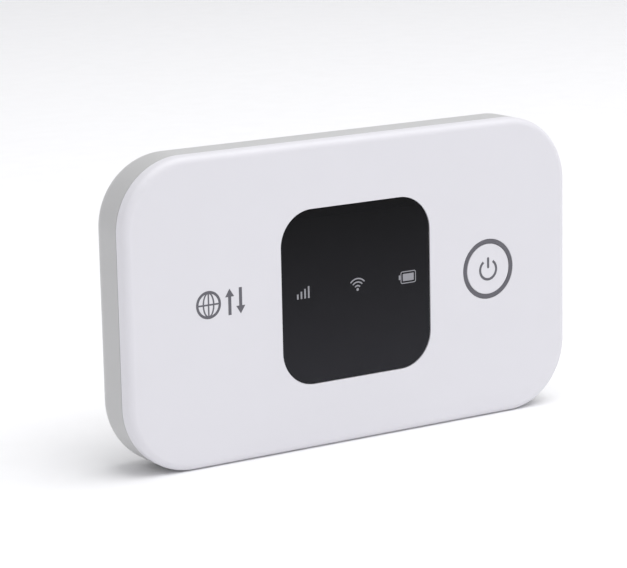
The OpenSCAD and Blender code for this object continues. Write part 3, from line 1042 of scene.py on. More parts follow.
@dataclass
class FrontShell:
    """White front cover: face, rolled edge, window pocket, button seat and screw bosses."""

    form: BodyForm
    window: StatusWindow
    key: PowerKey
    roll: float = 1.4
    face: float = 1.6
    side: float = 1.5
    eased: float = 0.06
    inner_fillet: float = 0.3
    rib_level: float = 2.4
    rib_width: float = 1.0
    seat_gap: float = 0.02
    boss_radius: float = 1.9
    boss_level: float = 4.0
    boss_eased: float = 0.15
    bore_radius: float = 0.75
    bore_level: float = 2.2
    bore_eased: float = 0.12
    boss_span: Point = (82.0, 42.0)

    def skin(self, shape: Builder) -> tuple[Ring, Ring]:
        """Builds the edge from the face to the inside, in the shell's builder.

        Args:
            shape: the builder.

        Returns:
            The rings that bound the front and the back of the face.
        """
        seam, eased, fillet = self.form.seam, self.eased, self.inner_fillet
        section = arc((self.roll, self.roll), self.roll, -90, -180, 14)
        section += arc((eased, seam - eased), eased, 180, 90, 4)
        section += [(self.side, seam)]
        section += arc((self.side + fillet, self.face + fillet), fillet, 180, 270, 4)
        return shape.sweep(self.form.size, self.form.corner, section)

    def pocket(self, shape: Builder) -> tuple[Ring, Ring]:
        """Builds the window's pocket, ledge and rib.

        Args:
            shape: the shell's builder.

        Returns:
            Its rings in the front and in the back of the face.
        """
        window, eased = self.window, self.eased
        wide, corner = window.side + 2 * window.gap, window.corner + window.gap
        ledge = window.ledge + window.gap
        rib = self.rib_width - ledge
        section = [(-eased, 0.0), (-eased / 3, eased / 3), (0.0, eased), (0.0, window.seat)]
        section += [(ledge, window.seat), (ledge, self.rib_level)]
        front, inner = shape.sweep((wide, wide), corner, section)
        outer, back = shape.sweep((wide, wide), corner, [(rib, self.rib_level), (rib, self.face)])
        shape.band(inner, outer)
        return front, back

    def seat(self, shape: Builder) -> tuple[Ring, Ring]:
        """Builds the button's seat and bore.

        Args:
            shape: the shell's builder.

        Returns:
            Its rings in the front and in the back of the face.
        """
        key, eased = self.key, self.eased
        wide = key.ring_radius + self.seat_gap
        section = [(wide + eased, 0.0), (wide, eased), (wide, key.seat)]
        section += [(key.bore, key.seat), (key.bore, self.face)]
        return shape.turn(section, key.centre)

    def boss(self, shape: Builder, centre: Point) -> Ring:
        """Builds one screw boss with its blind bore.

        Args:
            shape: the shell's builder.
            centre: the screw's axis in x and z.

        Returns:
            The ring at its foot.
        """
        radius, bore, level = self.boss_radius, self.bore_radius, self.boss_level
        section = [(radius, self.face), (radius, level - self.boss_eased)]
        section += [(radius - self.boss_eased, level), (bore + self.bore_eased, level)]
        section += [(bore, level - self.bore_eased), (bore, self.bore_level)]
        foot, floor = shape.turn(section, centre, 32)
        shape.fill(floor)
        return foot

    def build(self) -> None:
        """Makes the shell as one closed mesh."""
        shape = Builder()
        fronts, backs = zip(self.skin(shape), self.pocket(shape), self.seat(shape))
        x, z = (span / 2 for span in self.boss_span)
        feet = [self.boss(shape, (u * x, v * z)) for u in (-1, 1) for v in (-1, 1)]
        shape.fill(*fronts)
        shape.fill(*backs, *feet)
        deliver(shape.piece("front_shell"), SATIN_WHITE, "front_cover")


@dataclass
class StatusWindow:
    """Square smoked window with its tape, film, light baffle and three printed icons."""

    lens: Span = field(default_factory=lambda: Span.of("display_lens"))
    tape: Span = field(default_factory=lambda: Span.of("lens_tape"))
    corner: float = 6.7
    gap: float = 0.1
    ledge: float = 1.5
    eased: float = 0.12
    back_eased: float = 0.04
    bars_start: Point = (-13.13, -0.05)
    bar_pitch: float = 0.8
    bar_width: float = 0.34
    bar_height: float = 0.95
    bar_rise: float = 0.43
    fan_foot: Point = (0.09, 0.13)
    fan_dot: float = 0.27
    fan_radii: tuple[float, ...] = (0.73, 1.42, 2.08)
    fan_line: float = 0.25
    cell_centre: Point = (11.58, 1.05)
    cell_case: Point = (3.5, 2.38)
    cell_inside: Point = (3.16, 2.04)
    cell_charge: Point = (2.5, 1.4)
    nub_centre: Point = (9.6, 1.13)
    nub_size: Point = (0.36, 0.9)

    @property
    def side(self) -> float:
        """Side of the square lens."""
        return self.lens.size[0]

    @property
    def seat(self) -> float:
        """Depth of the ledge that the lens is taped to."""
        return self.tape.far

    def build(self) -> None:
        """Makes the lens, what lies behind it, and the icons on it."""
        shape = Builder()
        near, far = self.lens.near, self.lens.far
        section = arc((self.eased, near + self.eased), self.eased, -90, -180, 5)
        section += [(0.0, far - self.back_eased), (self.back_eased, far)]
        shape.cap(*shape.sweep((self.side, self.side), self.corner, section))
        deliver(shape.piece("window_lens"), WINDOW, "display_lens")
        refine("lens_tape", "window_tape", 0.02, TAPE)
        refine("icon_film", "window_film", 0.02, FILM)
        refine("light_baffle", "window_baffle", 0.12, BAFFLE)
        level = (near - PRINT_MM, near + PRINT_MM / 2)
        self.print_bars(near - PRINT_MM / 4)
        self.print_fan(level)
        self.print_cell(level)

    def print_bars(self, depth: float) -> None:
        """Prints the signal icon.

        Args:
            depth: middle of the ink.
        """
        values = {
            "Start": place(*self.bars_start, depth),
            "Pitch": self.bar_pitch,
            "Count": 4,
            "Bar Width": self.bar_width,
            "First Height": self.bar_height,
            "Rise": self.bar_rise,
            "Thickness": PRINT_MM * 1.5,
        }
        deliver(grow(show("icon_signal"), bars_tree(), PALE_INK, values), PALE_INK)

    def print_fan(self, level: Point) -> None:
        """Prints the wireless icon.

        Args:
            level: depths of the ink's two faces.
        """
        fan = Builder()
        fan.slab(circle(self.fan_dot, self.fan_foot, 24), *level)
        for radius in self.fan_radii:
            fan.slab(bent_stroke(self.fan_foot, radius, 42, 138, self.fan_line), *level)
        deliver(fan.piece("icon_wireless"), PALE_INK)

    def print_cell(self, level: Point) -> None:
        """Prints the battery icon.

        Args:
            level: depths of the ink's two faces.
        """
        cell = Builder()
        inside = rounded(self.cell_inside, 0.24, self.cell_centre, 6)
        cell.slab(rounded(self.cell_case, 0.4, self.cell_centre, 6), *level, inside)
        cell.slab(rounded(self.cell_charge, 0.1, self.cell_centre, 4), *level)
        cell.slab(rounded(self.nub_size, 0.12, self.nub_centre, 4), *level)
        deliver(cell.piece("icon_battery"), PALE_INK)


@dataclass
class PowerKey:
    """Round power button inside its grey ring, with the plunger and switch behind it."""

    band: float = 0.85
    clearance: float = 0.06
    bore_gap: float = 0.09
    eased: float = 0.14
    ring_eased: float = 0.08
    flange: float = 0.6
    flange_eased: float = 0.06
    hub: float = 1.5
    hub_height: float = 0.25
    hub_eased: float = 0.05
    mark_radius: float = 1.9
    mark_line: float = 0.5
    sides: int = 96
    ring: Span = field(default_factory=lambda: Span.of("button_ring"))
    cap: Span = field(default_factory=lambda: Span.of("power_button"))

    @property
    def centre(self) -> Point:
        """Axis of the button in x and z."""
        return self.ring.centre

    @property
    def ring_radius(self) -> float:
        """Outer radius of the ring."""
        return self.ring.size[0] / 2

    @property
    def radius(self) -> float:
        """Radius of the key."""
        return self.ring_radius - self.band - self.clearance

    @property
    def bore(self) -> float:
        """Radius of the bore that the key slides in."""
        return self.radius + self.bore_gap

    @property
    def seat(self) -> float:
        """Depth of the shoulder that the ring sits on."""
        return self.ring.far

    def build(self) -> None:
        """Makes the ring, the key, its mark and the switch."""
        self.make_ring()
        self.make_key()
        self.print_mark()
        refine("power_plunger", "key_plunger", 0.08, NYLON_BLACK, "plunger")
        refine("power_switch", "key_switch", 0.08, SWITCH_STEEL)

    def make_ring(self) -> None:
        """Turns the grey trim ring."""
        inner, outer, eased = self.ring_radius - self.band, self.ring_radius, self.ring_eased
        shape = Builder()
        section = [(inner, self.seat), (inner, eased), (inner + eased, 0.0)]
        section += [(outer - eased, 0.0), (outer, eased), (outer, self.seat)]
        shape.band(*reversed(shape.turn(section, self.centre, self.sides)))
        deliver(shape.piece("key_ring"), RING_GREY, "button_ring")

    def make_key(self) -> None:
        """Turns the key with its flange and hub."""
        wide, back, hub, eased = self.ring_radius, self.cap.far, self.hub, self.hub_eased
        step = back - self.hub_height
        brim = step - self.flange
        shape = Builder()
        section = arc((self.radius - self.eased, self.eased), self.eased, -90, 0, 5)
        section += [(self.radius, brim), (wide - self.flange_eased, brim)]
        section += [(wide, brim + self.flange_eased), (wide, step)]
        section += [(hub, step), (hub, back - eased), (hub - eased, back)]
        shape.cap(*shape.turn(section, self.centre, self.sides))
        deliver(shape.piece("key_cap"), KEY_WHITE, "power_button", body="button")

    def print_mark(self) -> None:
        """Prints the open ring and stroke that mean power."""
        x, z = self.centre
        level = (-PRINT_MM, PRINT_MM / 2)
        half = self.mark_line / 2
        mark = Builder()
        ring = bent_stroke((x, z - 0.15), self.mark_radius, 125, 415, self.mark_line)
        mark.slab(ring, *level)
        bar = arc((x, z + 0.35), half, 180, 360, 8) + arc((x, z + 2.05), half, 0, 180, 8)
        mark.slab(bar, *level)
        deliver(mark.piece("key_mark"), INK, body="button")


@dataclass
class DataMark:
    """Generic printed mark on the left of the face: a globe and two arrows."""

    globe: Point = (-32.2, 1.5)
    radius: float = 2.6
    line: float = 0.5
    net_line: float = 0.3
    bow_share: float = 0.46
    arrow_x: Point = (-27.75, -25.45)
    arrow_low: float = -0.95
    arrow_high: float = 3.95
    stem: float = 0.32
    head: float = 0.95
    head_length: float = 1.5

    def ink(self, outline: Outline, *holes: Outline) -> Item:
        """One printed shape on the face.

        Args:
            outline: its edge.
            holes: outlines of what is left blank inside it.

        Returns:
            The shape.
        """
        shape = Builder()
        shape.slab(outline, -PRINT_MM, PRINT_MM / 2, *holes)
        return shape.piece("ink_shape")

    def arrow(self, x: float, tail: float, tip: float) -> Item:
        """An upright arrow.

        Args:
            x: place across.
            tail: height of its tail.
            tip: height of its tip.

        Returns:
            The arrow.
        """
        neck = tip - math.copysign(self.head_length, tip - tail)
        outline = [(x - self.stem, tail), (x + self.stem, tail), (x + self.stem, neck)]
        outline += [(x + self.head, neck), (x, tip), (x - self.head, neck), (x - self.stem, neck)]
        return self.ink(outline)

    def oval(self, wide: float, tall: float) -> Outline:
        """An oval round the globe's middle, by its half width and half height."""
        x, z = self.globe
        return [(x + wide * u, z + tall * v) for u, v in circle(1.0, steps=48)]

    def build(self) -> None:
        """Prints the mark: the globe's rim, meridians and equator, then the arrows."""
        reach, half = self.radius - self.line / 2, self.net_line / 2
        bow = reach * self.bow_share
        inside = circle(self.radius - self.line, self.globe)
        mark = self.ink(circle(self.radius, self.globe), inside)
        for part in (
            self.ink(self.oval(bow + half, reach), self.oval(bow - half, reach - 2 * half)),
            self.ink(oblong((self.net_line, 2 * reach), self.globe)),
            self.ink(oblong((2 * reach, self.net_line), self.globe)),
            self.arrow(self.arrow_x[0], self.arrow_low, self.arrow_high),
            self.arrow(self.arrow_x[1], self.arrow_high, self.arrow_low),
        ):
            join(mark, part, Join.FUSE)
        mark.name = mark.data.name = "data_mark"
        deliver(mark, INK)


@dataclass
class RearShell:
    """Grey rear cover: a deep tray with a socket opening, nail notch and snap ribs."""

    form: BodyForm
    start: float = 3.12
    wall: float = 1.2
    roll: float = 4.5
    eased: float = 0.06
    socket_size: Point = (9.0, 3.75)
    socket_centre: Point = (0.0, 6.175)
    socket_corner: float = 1.2
    socket_flare: float = 0.25
    notch_z: float = -12.0
    notch_radius: float = 4.2
    notch_eased: float = 0.4
    rib_size: Triple = (5.5, 0.4, 0.8)
    rib_level: float = 5.2
    rib_x: float = 26.0
    right_rib_z: float = 11.0
    left_rib_z: float = 8.0

    def build(self) -> None:
        """Makes the cover, fuses its ribs and cuts its openings."""
        roll, wall, eased = self.roll, self.wall, self.eased
        centre = (roll, self.form.depth - roll)
        section = arc(centre, roll, 90, 180, 20)
        section += arc((eased, self.start + eased), eased, 180, 270, 4)
        section += [(wall, self.start)]
        section += arc(centre, roll - wall, 180, 90, 16)
        cover = show("rear_shell")
        links = [(i, i + 1) for i in range(len(section) - 1)]
        cover.data.from_pydata([(-inset, depth, 0.0) for inset, depth in section], links, [])
        sizes = {
            "Width": self.form.size[0],
            "Height": self.form.size[1],
            "Corner": self.form.corner,
            "Corner Steps": CORNER_STEPS,
            "Middle": place(0.0, 0.0, 0.0),
        }
        closed(grow(cover, wall_tree(), GREY_TEXTURED, sizes))
        for rib in self.ribs():
            join(cover, rib, Join.FUSE)
        join(cover, self.socket_tool(), Join.CUT)
        join(cover, self.notch_tool(), Join.CUT)
        deliver(cover, GREY_TEXTURED, "rear_cover", body="cover")
        self.make_pad()

    def rib(self, upright: bool) -> Item:
        """A snap rib round its own origin.

        Args:
            upright: True if it runs along z and not along x.

        Returns:
            The rib.
        """
        length, thick, tall = self.rib_size
        shape = Builder(Lay.LOOSE)
        shape.block((thick, length, tall) if upright else (length, thick, tall))
        return ease(shape.piece("rib_template"), 0.12)

    def ribs(self) -> list[Item]:
        """The snap ribs on the long sides and on the short sides.

        Returns:
            One piece for the long sides, and one for each short side.
        """
        x, z = (side / 2 - self.wall for side in self.form.size)
        start, pair = (-self.rib_x, -z, self.rib_level), ((2 * self.rib_x, 2), (2 * z, 2))
        made = [in_rows("long_ribs", self.rib(False), GREY_TEXTURED, start, *pair)]
        for side, low in ((x, self.right_rib_z), (-x, self.left_rib_z)):
            start, up = (side, -low, self.rib_level), (2 * low, 2)
            made.append(in_rows("side_ribs", self.rib(True), GREY_TEXTURED, start, up=up))
        return made

    def socket_tool(self) -> Item:
        """What is cut out for the socket, flared at the outside.

        Returns:
            The tool.
        """
        outside, flare = self.form.size[0] / 2, self.socket_flare
        section = [(0.0, outside - self.wall - 1), *arc((-flare, outside - flare), flare, 0, 90, 4)]
        section += [(-flare, outside + 1)]
        shape = Builder(Lay.ACROSS)
        shape.cap(*shape.sweep(self.socket_size, self.socket_corner, section, self.socket_centre))
        return shape.piece("socket_tool")

    def notch_tool(self) -> Item:
        """What is cut out for a fingernail at the seam.

        Returns:
            The tool.
        """
        outside, radius, eased = self.form.size[0] / 2, self.notch_radius, self.notch_eased
        floor = outside - self.wall / 2
        section = arc((radius - eased, floor + eased), eased, -90, 0, 5)
        section += [(radius + 0.1, outside), (radius + 0.6, outside + 0.5)]
        shape = Builder(Lay.ACROSS)
        shape.cap(*shape.turn(section, (self.notch_z, 0.0), 96))
        return shape.piece("notch_tool")

    def make_pad(self) -> None:
        """Makes the foam strip that presses on the battery."""
        strip = Span.of("cover_pad")
        bulge = (strip.far - strip.near) / 2
        section = arc((bulge, strip.near + bulge), bulge, -90, -180, 4) + [(0.0, strip.far)]
        shape = Builder()
        shape.cap(*shape.sweep(strip.size, 1.0, section, strip.centre))
        pad = deliver(shape.piece("foam_strip"), FOAM, "cover_pad", body="cover")


@dataclass
class Screw:
    """Small machine screw with a pan head, a cross recess and a rolled thread."""

    head_radius: float = 1.3
    head_height: float = 0.7
    head_foot: float = 0.05
    head_roll: float = 0.4
    radius: float = 0.7
    length: float = 4.6
    tip: float = 0.15
    tip_share: float = 0.6
    pitch: float = 0.35
    thread_depth: float = 0.12
    turn_levels: int = 5
    recess: Triple = (1.5, 0.35, 0.8)
    sides: int = 24

    def thread_ring(self, level: float) -> Outline:
        """Outline of the shank at one level, which winds as the level changes.

        Args:
            level: place along the screw.

        Returns:
            The outline.
        """
        points = []
        for i in range(self.sides):
            turn = i / self.sides
            wave = abs(2 * ((level / self.pitch - turn) % 1.0) - 1)
            radius = self.radius - self.thread_depth * wave
            angle = 2 * math.pi * turn
            points.append((radius * math.cos(angle), radius * math.sin(angle)))
        return points

    def template(self) -> Item:
        """One screw round its own origin, its head on the side of growing depth.

        Returns:
            The screw.
        """
        steps = round(self.length / self.pitch * self.turn_levels)
        rise = (self.length - self.tip) / steps
        levels = [self.tip - self.length + i * rise for i in range(steps)]
        outlines = [(circle(self.radius * self.tip_share, steps=self.sides), -self.length)]
        outlines += [(self.thread_ring(level), level) for level in levels]
        outlines += [(circle(self.radius, steps=self.sides), 0.0)]
        wide, tall, roll, foot = self.head_radius, self.head_height, self.head_roll, self.head_foot
        head = [(wide - foot, 0.0), (wide, foot), *arc((wide - roll, tall - roll), roll, 0, 90, 6)]
        outlines += [(circle(r, steps=self.sides), level) for r, level in head]
        shape = Builder(Lay.LOOSE)
        shape.cap(*shape.stack(outlines))
        screw = shape.piece("screw_template")
        long, thin, deep = self.recess
        for size in ((long, thin, deep), (thin, long, deep)):
            slot = Builder(Lay.LOOSE)
            slot.block(size, (0.0, 0.0, tall))
            join(screw, slot.piece("slot_tool"), Join.CUT)
        return screw


@dataclass
class Chassis:
    """Charcoal mid frame with its screws, label, indicator and antennas."""

    screw: Screw = field(default_factory=Screw)
    screw_spot: Point = (41.0, 21.0)
    deck: float = 7.0
    rule_inset: float = 4.0
    rule_line: float = 0.35
    rule_pitch: float = 2.2
    rules: int = 9

    def build(self) -> None:
        """Makes the frame and what is fixed to its deck."""
        refine("mid_frame", "inner_frame", 0.12, FRAME_BLACK)
        (x, z), screw = self.screw_spot, self.screw.template()
        pair = ((2 * x, 2), (2 * z, 2))
        screws = in_rows("deck_screws", screw, ZINC, (-x, -z, self.deck), *pair)
        deliver(screws, ZINC, "frame_screws")
        refine("bay_label", "deck_label", 0.02, LABEL)
        self.print_label()
        refine("moisture_sticker", "deck_indicator", 0.02, PAPER)
        for node in ("main_antenna", "diversity_antenna", "wireless_antenna"):
            refine(node, node + "_foil", 0.02, COPPER)
        refine("antenna_clips", "antenna_feed_clips", 0.04, GOLD)

    def print_label(self) -> None:
        """Prints plain rules on the blank label."""
        label = Span.of("bay_label")
        rule = Builder(Lay.LOOSE)
        rule.block((label.size[0] - self.rule_inset, self.rule_line, PRINT_MM))
        start = (label.centre[0], label.low.z + self.rule_inset, label.far)
        template, up = rule.piece("rule_template"), (self.rule_pitch, self.rules)
        deliver(in_rows("deck_label_rules", template, LABEL_INK, start, up=up), LABEL_INK)


@dataclass
class MainBoard:
    """Circuit board with its shielded parts, on both faces."""

    front: float = 4.0
    back: float = 4.8
    can_wall: float = 0.2
    can_bend: float = 0.35
    can_corner: float = 0.8
    vent_radius: float = 0.5
    vent_inset: float = 2.0
    coil_start: Point = (10.0, -17.0)
    coil_size: Point = (3.0, 3.0)
    coil_height: float = 1.2
    coil_roll: float = 0.2
    chip_start: Point = (-33.0, -16.0)
    chip_size: Triple = (1.1, 0.8, 0.5)
    chip_end: float = 0.27
    light_inset: float = 0.8
    light_base: Triple = (1.6, 0.8, 0.25)
    light_middle: float = 0.2

    def build(self) -> None:
        """Makes the board and everything soldered to it."""
        refine("main_board", "circuit_board", 0.03, BOARD)
        for node in ("baseband_can", "radio_can", "wireless_can"):
            self.make_can(node)
        chips = ("baseband_chip", "memory_chip", "power_chip", "radio_chip", "wireless_chip")
        for node in (*chips, "power_amplifiers"):
            refine(node, node + "_package", 0.04, CHIP)
        refine("clock_crystal", "crystal_package", 0.06, CRYSTAL)
        self.make_inductors()
        self.make_capacitors()
        self.make_leds()
        refine("thermal_pad", "thermal_gap_pad", 0.12, THERMAL)
        refine("reset_switch", "reset_switch_case", 0.05, SWITCH_STEEL)
        refine("reset_plunger", "reset_key_pin", 0.05, NYLON_WHITE, "reset_key")

    def make_can(self, node: str) -> None:
        """Draws a shield can open towards the board and drills its row of holes.

        Args:
            node: the CAD node that it stands for.
        """
        span = Span.of(node)
        top, wall, bend = span.near, self.can_wall, self.can_bend
        section = arc((bend, top + bend), bend, -90, -180, 5)
        section += [(0.0, span.far), (wall, span.far)]
        section += arc((bend, top + bend), bend - wall, 180, 270, 5)
        shape = Builder()
        shape.cap(*shape.sweep(span.size, self.can_corner, section, span.centre))
        tree = bpy.data.node_groups.get("row_of_holes") or holes_tree()
        (x, z), step = span.centre, span.size[0] / 6
        values = {
            "Start": place(x - 2 * step, z + span.size[1] / 2 - self.vent_inset, top),
            "Step": Vector((step, 0, 0)),
            "Count": 5,
            "Radius": self.vent_radius,
            "Depth": 1.0,
        }
        deliver(grow(shape.piece(node + "_cover"), tree, CAN_TIN, values), CAN_TIN, node)

    def make_inductors(self) -> None:
        """Sets out the four power inductors."""
        roll, step = self.coil_roll, (5.0, 2)
        section = arc((roll, roll), roll, -90, -180, 4)
        section += arc((roll, self.coil_height - roll), roll, 180, 90, 4)
        shape = Builder(Lay.LOOSE)
        shape.cap(*shape.sweep(self.coil_size, 0.7, section))
        template, start = shape.piece("inductor_template"), (*self.coil_start, self.back)
        coils = in_rows("board_inductors", template, FERRITE, start, step, step)
        deliver(coils, FERRITE, "power_inductors")

    def make_capacitors(self) -> None:
        """Sets out the ceramic capacitors and their tinned ends."""
        (length, width, tall), end = self.chip_size, self.chip_end
        body, ends = Builder(Lay.LOOSE), Builder(Lay.LOOSE)
        body.block(self.chip_size)
        for side in (-1, 1):
            ends.block((end, width, tall), (side * (length / 2 + end / 2 - 0.02), 0.0, 0.0))
        for name, shape, finish, nodes in (
            ("board_capacitors", body, CERAMIC, ("chip_capacitors",)),
            ("board_capacitor_ends", ends, CAN_TIN, ()),
        ):
            template = ease(shape.piece("capacitor_template"), 0.04)
            start = (*self.chip_start, self.back + tall / 2)
            rows = in_rows(name, template, finish, start, (3.0, 6), (3.0, 3))
            deliver(rows, finish, *nodes)

    def make_leds(self) -> None:
        """Sets out the three status lights."""
        lights, (_, _, tall) = Span.of("status_leds"), self.light_base
        z, level = lights.centre[1], self.front - tall
        base, dome = Builder(), Builder()
        section = [(0.36, level), (0.34, level - 0.25), (0.26, level - 0.35)]
        inset = self.light_inset
        for x in (lights.low.x + inset, self.light_middle, lights.high.x - inset):
            base.block(self.light_base, (x, z, self.front - tall / 2))
            dome.cap(*dome.turn(section, (x, z), 20))
        deliver(ease(base.piece("status_light_bases"), 0.03), BAFFLE, "status_leds")
        deliver(dome.piece("status_light_domes"), PHOSPHOR)


@dataclass
class UsbSocket:
    """Micro-size socket: stamped shell, tongue and contacts."""

    mouth: float = 47.5
    length: float = 5.2
    width: float = 7.6
    thick: float = 2.65
    wall: float = 0.25
    front: float = 4.85
    chamfer: float = 1.0
    bend: float = 0.45
    lip: float = 0.05
    blade: float = 0.35
    blade_pitch: float = 0.65

    def section(self, inset: float) -> Outline:
        """The shell's outline in height and depth, moved inwards.

        Args:
            inset: how far it is moved.

        Returns:
            The outline, with its corners rounded.
        """
        half, slope = self.width / 2 - inset, self.chamfer
        low, high = self.front + inset, self.front + self.thick - inset
        knee = self.front + self.thick - slope
        right = [(half, low), (half, knee), (half - slope, high)]
        corners = right + [(-z, depth) for z, depth in reversed(right)]
        reach = self.bend - inset * 0.6
        points: Outline = []
        for i, here in enumerate(corners):
            points += self.round_off(corners[i - 1], here, corners[(i + 1) % 6], reach)
        return points

    def round_off(self, before: Point, here: Point, after: Point, reach: float) -> Outline:
        """Rounds one corner by a curve.

        Args:
            before: the corner before it.
            here: the corner.
            after: the corner after it.
            reach: how far from the corner the curve starts.

        Returns:
            The points of the curve.
        """
        spot = Vector(here)
        first, last = (spot + (Vector(p) - spot).normalized() * reach for p in (before, after))
        made = []
        for i in range(6):
            t = i / 5
            mix = first * (1 - t) ** 2 + spot * 2 * t * (1 - t) + last * t**2
            made.append((mix.x, mix.y))
        return made

    def build(self) -> None:
        """Makes the socket."""
        back, edge = self.mouth - self.length, self.mouth - self.lip
        path = [(0.0, back), (0.0, edge), (0.06, self.mouth), (0.19, self.mouth)]
        path += [(self.wall, edge), (self.wall, back)]
        shape = Builder(Lay.ACROSS)
        ends = shape.stack([(self.section(inset), level) for inset, level in path])
        shape.band(*reversed(ends))
        deliver(shape.piece("socket_shell"), USB_STEEL, "usb_shell")
        refine("usb_tongue", "socket_tongue", 0.05, SOCKET_BLACK)
        span = Span.of("usb_contacts")
        blade = Builder(Lay.LOOSE)
        blade.block((span.size[0], self.blade, span.far - span.near))
        template = ease(blade.piece("blade_template"), 0.015)
        start = (span.centre[0], span.low.z + self.blade / 2, (span.near + span.far) / 2)
        blades = in_rows("socket_contacts", template, GOLD, start, up=(self.blade_pitch, 5))
        deliver(blades, GOLD, "usb_contacts")


@dataclass
class CardHolder:
    """Holder for the network card, and the card itself."""

    card_chamfer: float = 2.5
    card_corner: float = 0.8
    pad_size: Point = (2.4, 2.1)
    pad_corner: float = 0.3
    pad_pitch: Point = (7.6, 2.5)

    def build(self) -> None:
        """Makes the holder and the card."""
        refine("sim_base", "card_base", 0.05, SOCKET_BLACK)
        refine("sim_contacts", "card_springs", 0.03, GOLD)
        refine("sim_cage", "card_cage", 0.06, CAN_TIN)
        self.make_card()

    def make_card(self) -> None:
        """Makes the card, with its gold contacts towards the board."""
        card = Span.of("sim_card")
        low, high = card.low, card.high
        corner, cut = self.card_corner, self.card_chamfer
        outline = arc((low.x + corner, low.z + corner), corner, 180, 270, 6)
        outline += arc((high.x - corner, low.z + corner), corner, 270, 360, 6)
        outline += [(high.x, high.z - cut), (high.x - cut, high.z)]
        outline += arc((low.x + corner, high.z - corner), corner, 90, 180, 6)
        shape = Builder()
        shape.slab(outline, card.near, card.far)
        deliver(ease(shape.piece("network_card"), 0.05), CARD, "sim_card", body="sim")
        pad = Builder(Lay.LOOSE)
        pad.slab(rounded(self.pad_size, self.pad_corner, steps=4), -PRINT_MM / 2, PRINT_MM / 2)
        (x, z), (across, up) = card.centre, self.pad_pitch
        template, start = pad.piece("contact_template"), (x - across / 2, z - up, card.near)
        pads = in_rows("network_card_contacts", template, GOLD, start, (across, 2), (up, 3))
        deliver(pads, GOLD, body="sim")


@dataclass
class BatteryPack:
    """Flat battery: aluminium cell, end caps, wrap and terminals, with its connector."""

    sign: Point = (1.6, 0.4)
    sign_inset: float = 2.2
    sign_apart: float = 2.6
    pole_z: float = -12.0
    rule_size: Point = (34.0, 0.45)
    rule_start: Point = (-6.0, -8.0)
    rule_pitch: float = 16.0
    terminal: float = 1.6
    terminal_pitch: float = 2.6

    def build(self) -> None:
        """Makes the pack and the connector that it meets."""
        refine("battery_cell", "pack_cell", 0.02, CELL, "battery")
        refine("battery_caps", "pack_caps", 0.15, CAP_BLACK, "battery")
        refine("battery_wrap", "pack_wrap", 0.02, WRAP, "battery")
        self.print_wrap()
        self.make_terminals()
        refine("battery_connector", "pack_connector", 0.08, SOCKET_BLACK)
        refine("battery_springs", "pack_connector_springs", 0.04, GOLD)

    def print_wrap(self) -> None:
        """Prints plain rules and the signs of the poles on the wrap."""
        wrap, (long, thin) = Span.of("battery_wrap"), self.sign
        x, level, half = wrap.high.x - self.sign_inset, wrap.far, (long - thin) / 2
        plus, minus = (wrap.centre[1] + self.pole_z + way * self.sign_apart for way in (1, -1))
        signs = Builder()
        signs.block((long, thin, PRINT_MM), (x, plus, level))
        for side in (-1, 1):
            signs.block((thin, half, PRINT_MM), (x, plus + side * (thin + half) / 2, level))
        signs.block((long, thin, PRINT_MM), (x, minus, level))
        deliver(signs.piece("pack_signs"), LABEL_INK, body="battery")
        rule = Builder(Lay.LOOSE)
        rule.block((*self.rule_size, PRINT_MM))
        start = (wrap.centre[0] + self.rule_start[0], self.rule_start[1], level)
        template, up = rule.piece("rule_template"), (self.rule_pitch, 2)
        rules = in_rows("pack_rules", template, LABEL_INK, start, up=up)
        deliver(rules, LABEL_INK, body="battery")

    def make_terminals(self) -> None:
        """Sets out the three gold terminals on the end cap."""
        span = Span.of("battery_terminals")
        pad = Builder(Lay.LOOSE)
        pad.block((span.size[0], self.terminal, span.far - span.near))
        template = ease(pad.piece("terminal_template"), 0.015)
        start = (span.centre[0], span.low.z + self.terminal / 2, (span.near + span.far) / 2)
        pads = in_rows("pack_terminals", template, GOLD, start, up=(self.terminal_pitch, 3))
        deliver(pads, GOLD, "battery_terminals", body="battery")


# ---------------------------------------------------------------- studio


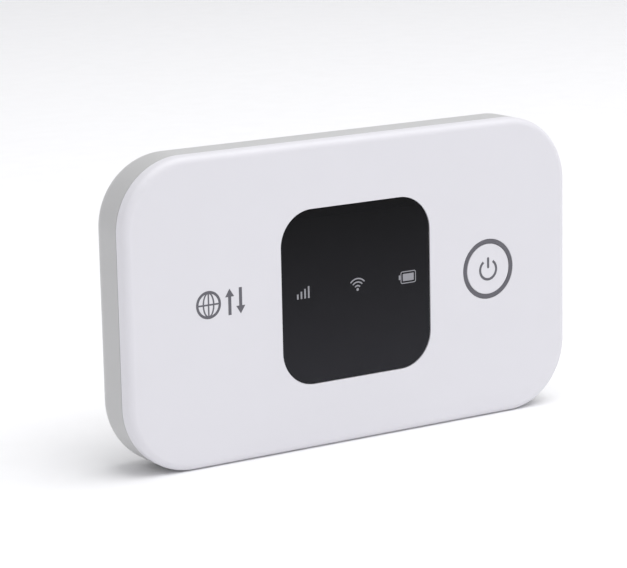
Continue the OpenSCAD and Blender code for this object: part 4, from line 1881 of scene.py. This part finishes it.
@dataclass
class Studio:
    """White bowl, soft light and the camera."""

    azimuth: float = -32.127
    elevation: float = 11.959
    roll: float = -1.188
    distance_mm: float = 494.386
    target_mm: Triple = (-5.623, 0.0, 29.839)
    lens: float = 150.87
    floor_colour: str = "#FAFAFB"
    floor_rings: tuple[float, ...] = (0.3, 0.8)
    floor_radius: float = 1.1
    bend_radius: float = 0.5
    wall_height: float = 0.6
    sky_colour: str = "#FDFDFF"
    sky: float = 0.6
    panel_power: float = 10.5
    panel_size: float = 1.3
    panel_spot: Triple = (0.2, -0.3, 1.13)
    panel_target: Triple = (0.0, 0.0, 0.03)

    def build(self) -> None:
        """Makes the bowl, the light and the camera."""
        self.make_bowl()
        self.make_light()
        self.make_camera()

    def make_bowl(self) -> None:
        """Turns a floor that curves up into a low wall all round."""
        section = [(radius, 0.0) for radius in self.floor_rings]
        section += arc((self.floor_radius, self.bend_radius), self.bend_radius, -90, 0, 16)
        section += [(self.floor_radius + self.bend_radius, self.wall_height)]
        mesh = bmesh.new()
        rings = []
        for radius, height in section:
            ring = [mesh.verts.new((x, y, height)) for x, y in circle(radius, steps=96)]
            rings.append(ring)
        mesh.faces.new(rings[0])
        for first, second in zip(rings, rings[1:]):
            for i in range(len(first)):
                mesh.faces.new((first[i - 1], second[i - 1], second[i], first[i]))
        for face in mesh.faces:
            face.smooth = True
        bowl = show("studio_bowl")
        put_back(mesh, bowl.data)
        # Matt paper. To the eye: a pale floor without a gleam.
        paper = Finish("white_paper_matt", "studio", self.floor_colour, 0.9, relief_mm=0.0)
        bowl.data.materials.append(paper.material())

    def make_light(self) -> None:
        """Lights the bowl by a pale sky and one large soft panel overhead."""
        world = bpy.data.worlds.new("pale_sky")
        bpy.context.scene.world = world
        world.use_nodes = True
        tree = world.node_tree
        tree.nodes.clear()
        glow = {"Color": linear(self.sky_colour), "Strength": self.sky}
        sky = add_node(tree, "ShaderNodeBackground", glow)
        add_node(tree, "ShaderNodeOutputWorld", {"Surface": sky})
        panel = bpy.data.lights.new("overhead_panel", "AREA")
        panel.shape = "DISK"
        panel.size = self.panel_size
        panel.energy = self.panel_power
        holder = bpy.data.objects.new("overhead_panel", panel)
        holder.location = self.panel_spot
        toward = Vector(self.panel_target) - holder.location
        holder.rotation_mode = "QUATERNION"
        holder.rotation_quaternion = toward.to_track_quat("-Z", "Y")
        bpy.context.scene.collection.objects.link(holder)

    def make_camera(self) -> None:
        """Sets the camera up at its angle, with its slight roll."""
        turn, rise, lean = (math.radians(a) for a in (self.azimuth, self.elevation, self.roll))
        level = math.cos(rise)
        back = Vector((math.sin(turn) * level, -math.cos(turn) * level, math.sin(rise)))
        right = Vector((math.cos(turn), math.sin(turn), 0.0))
        up = back.cross(right)
        side = right * math.cos(lean) + up * math.sin(lean)
        top = up * math.cos(lean) - right * math.sin(lean)
        data = bpy.data.cameras.new("camera")
        data.lens = self.lens
        data.sensor_width = 36.0
        data.clip_start, data.clip_end = 0.01, 20.0
        camera = bpy.data.objects.new("camera", data)
        spot = (Vector(self.target_mm) + back * self.distance_mm) * MM
        basis = Matrix((side, top, back)).transposed().to_4x4()
        camera.matrix_world = Matrix.Translation(spot) @ basis
        bpy.context.scene.collection.objects.link(camera)
        bpy.context.scene.camera = camera


def main() -> None:
    """Builds the sub-assemblies in order, then the studio."""
    logging.basicConfig(level=logging.INFO, format="%(name)s %(message)s", stream=sys.stdout)
    form, window, key = BodyForm(), StatusWindow(), PowerKey()
    shells = (FrontShell(form, window, key), window, key, DataMark(), RearShell(form))
    inside = (Chassis(), MainBoard(), UsbSocket(), CardHolder(), BatteryPack())
    for assembly in (*shells, *inside, Studio()):
        assembly.build()
    bpy.context.scene.view_settings.view_transform = "Standard"


if __name__ == "__main__":
    main()
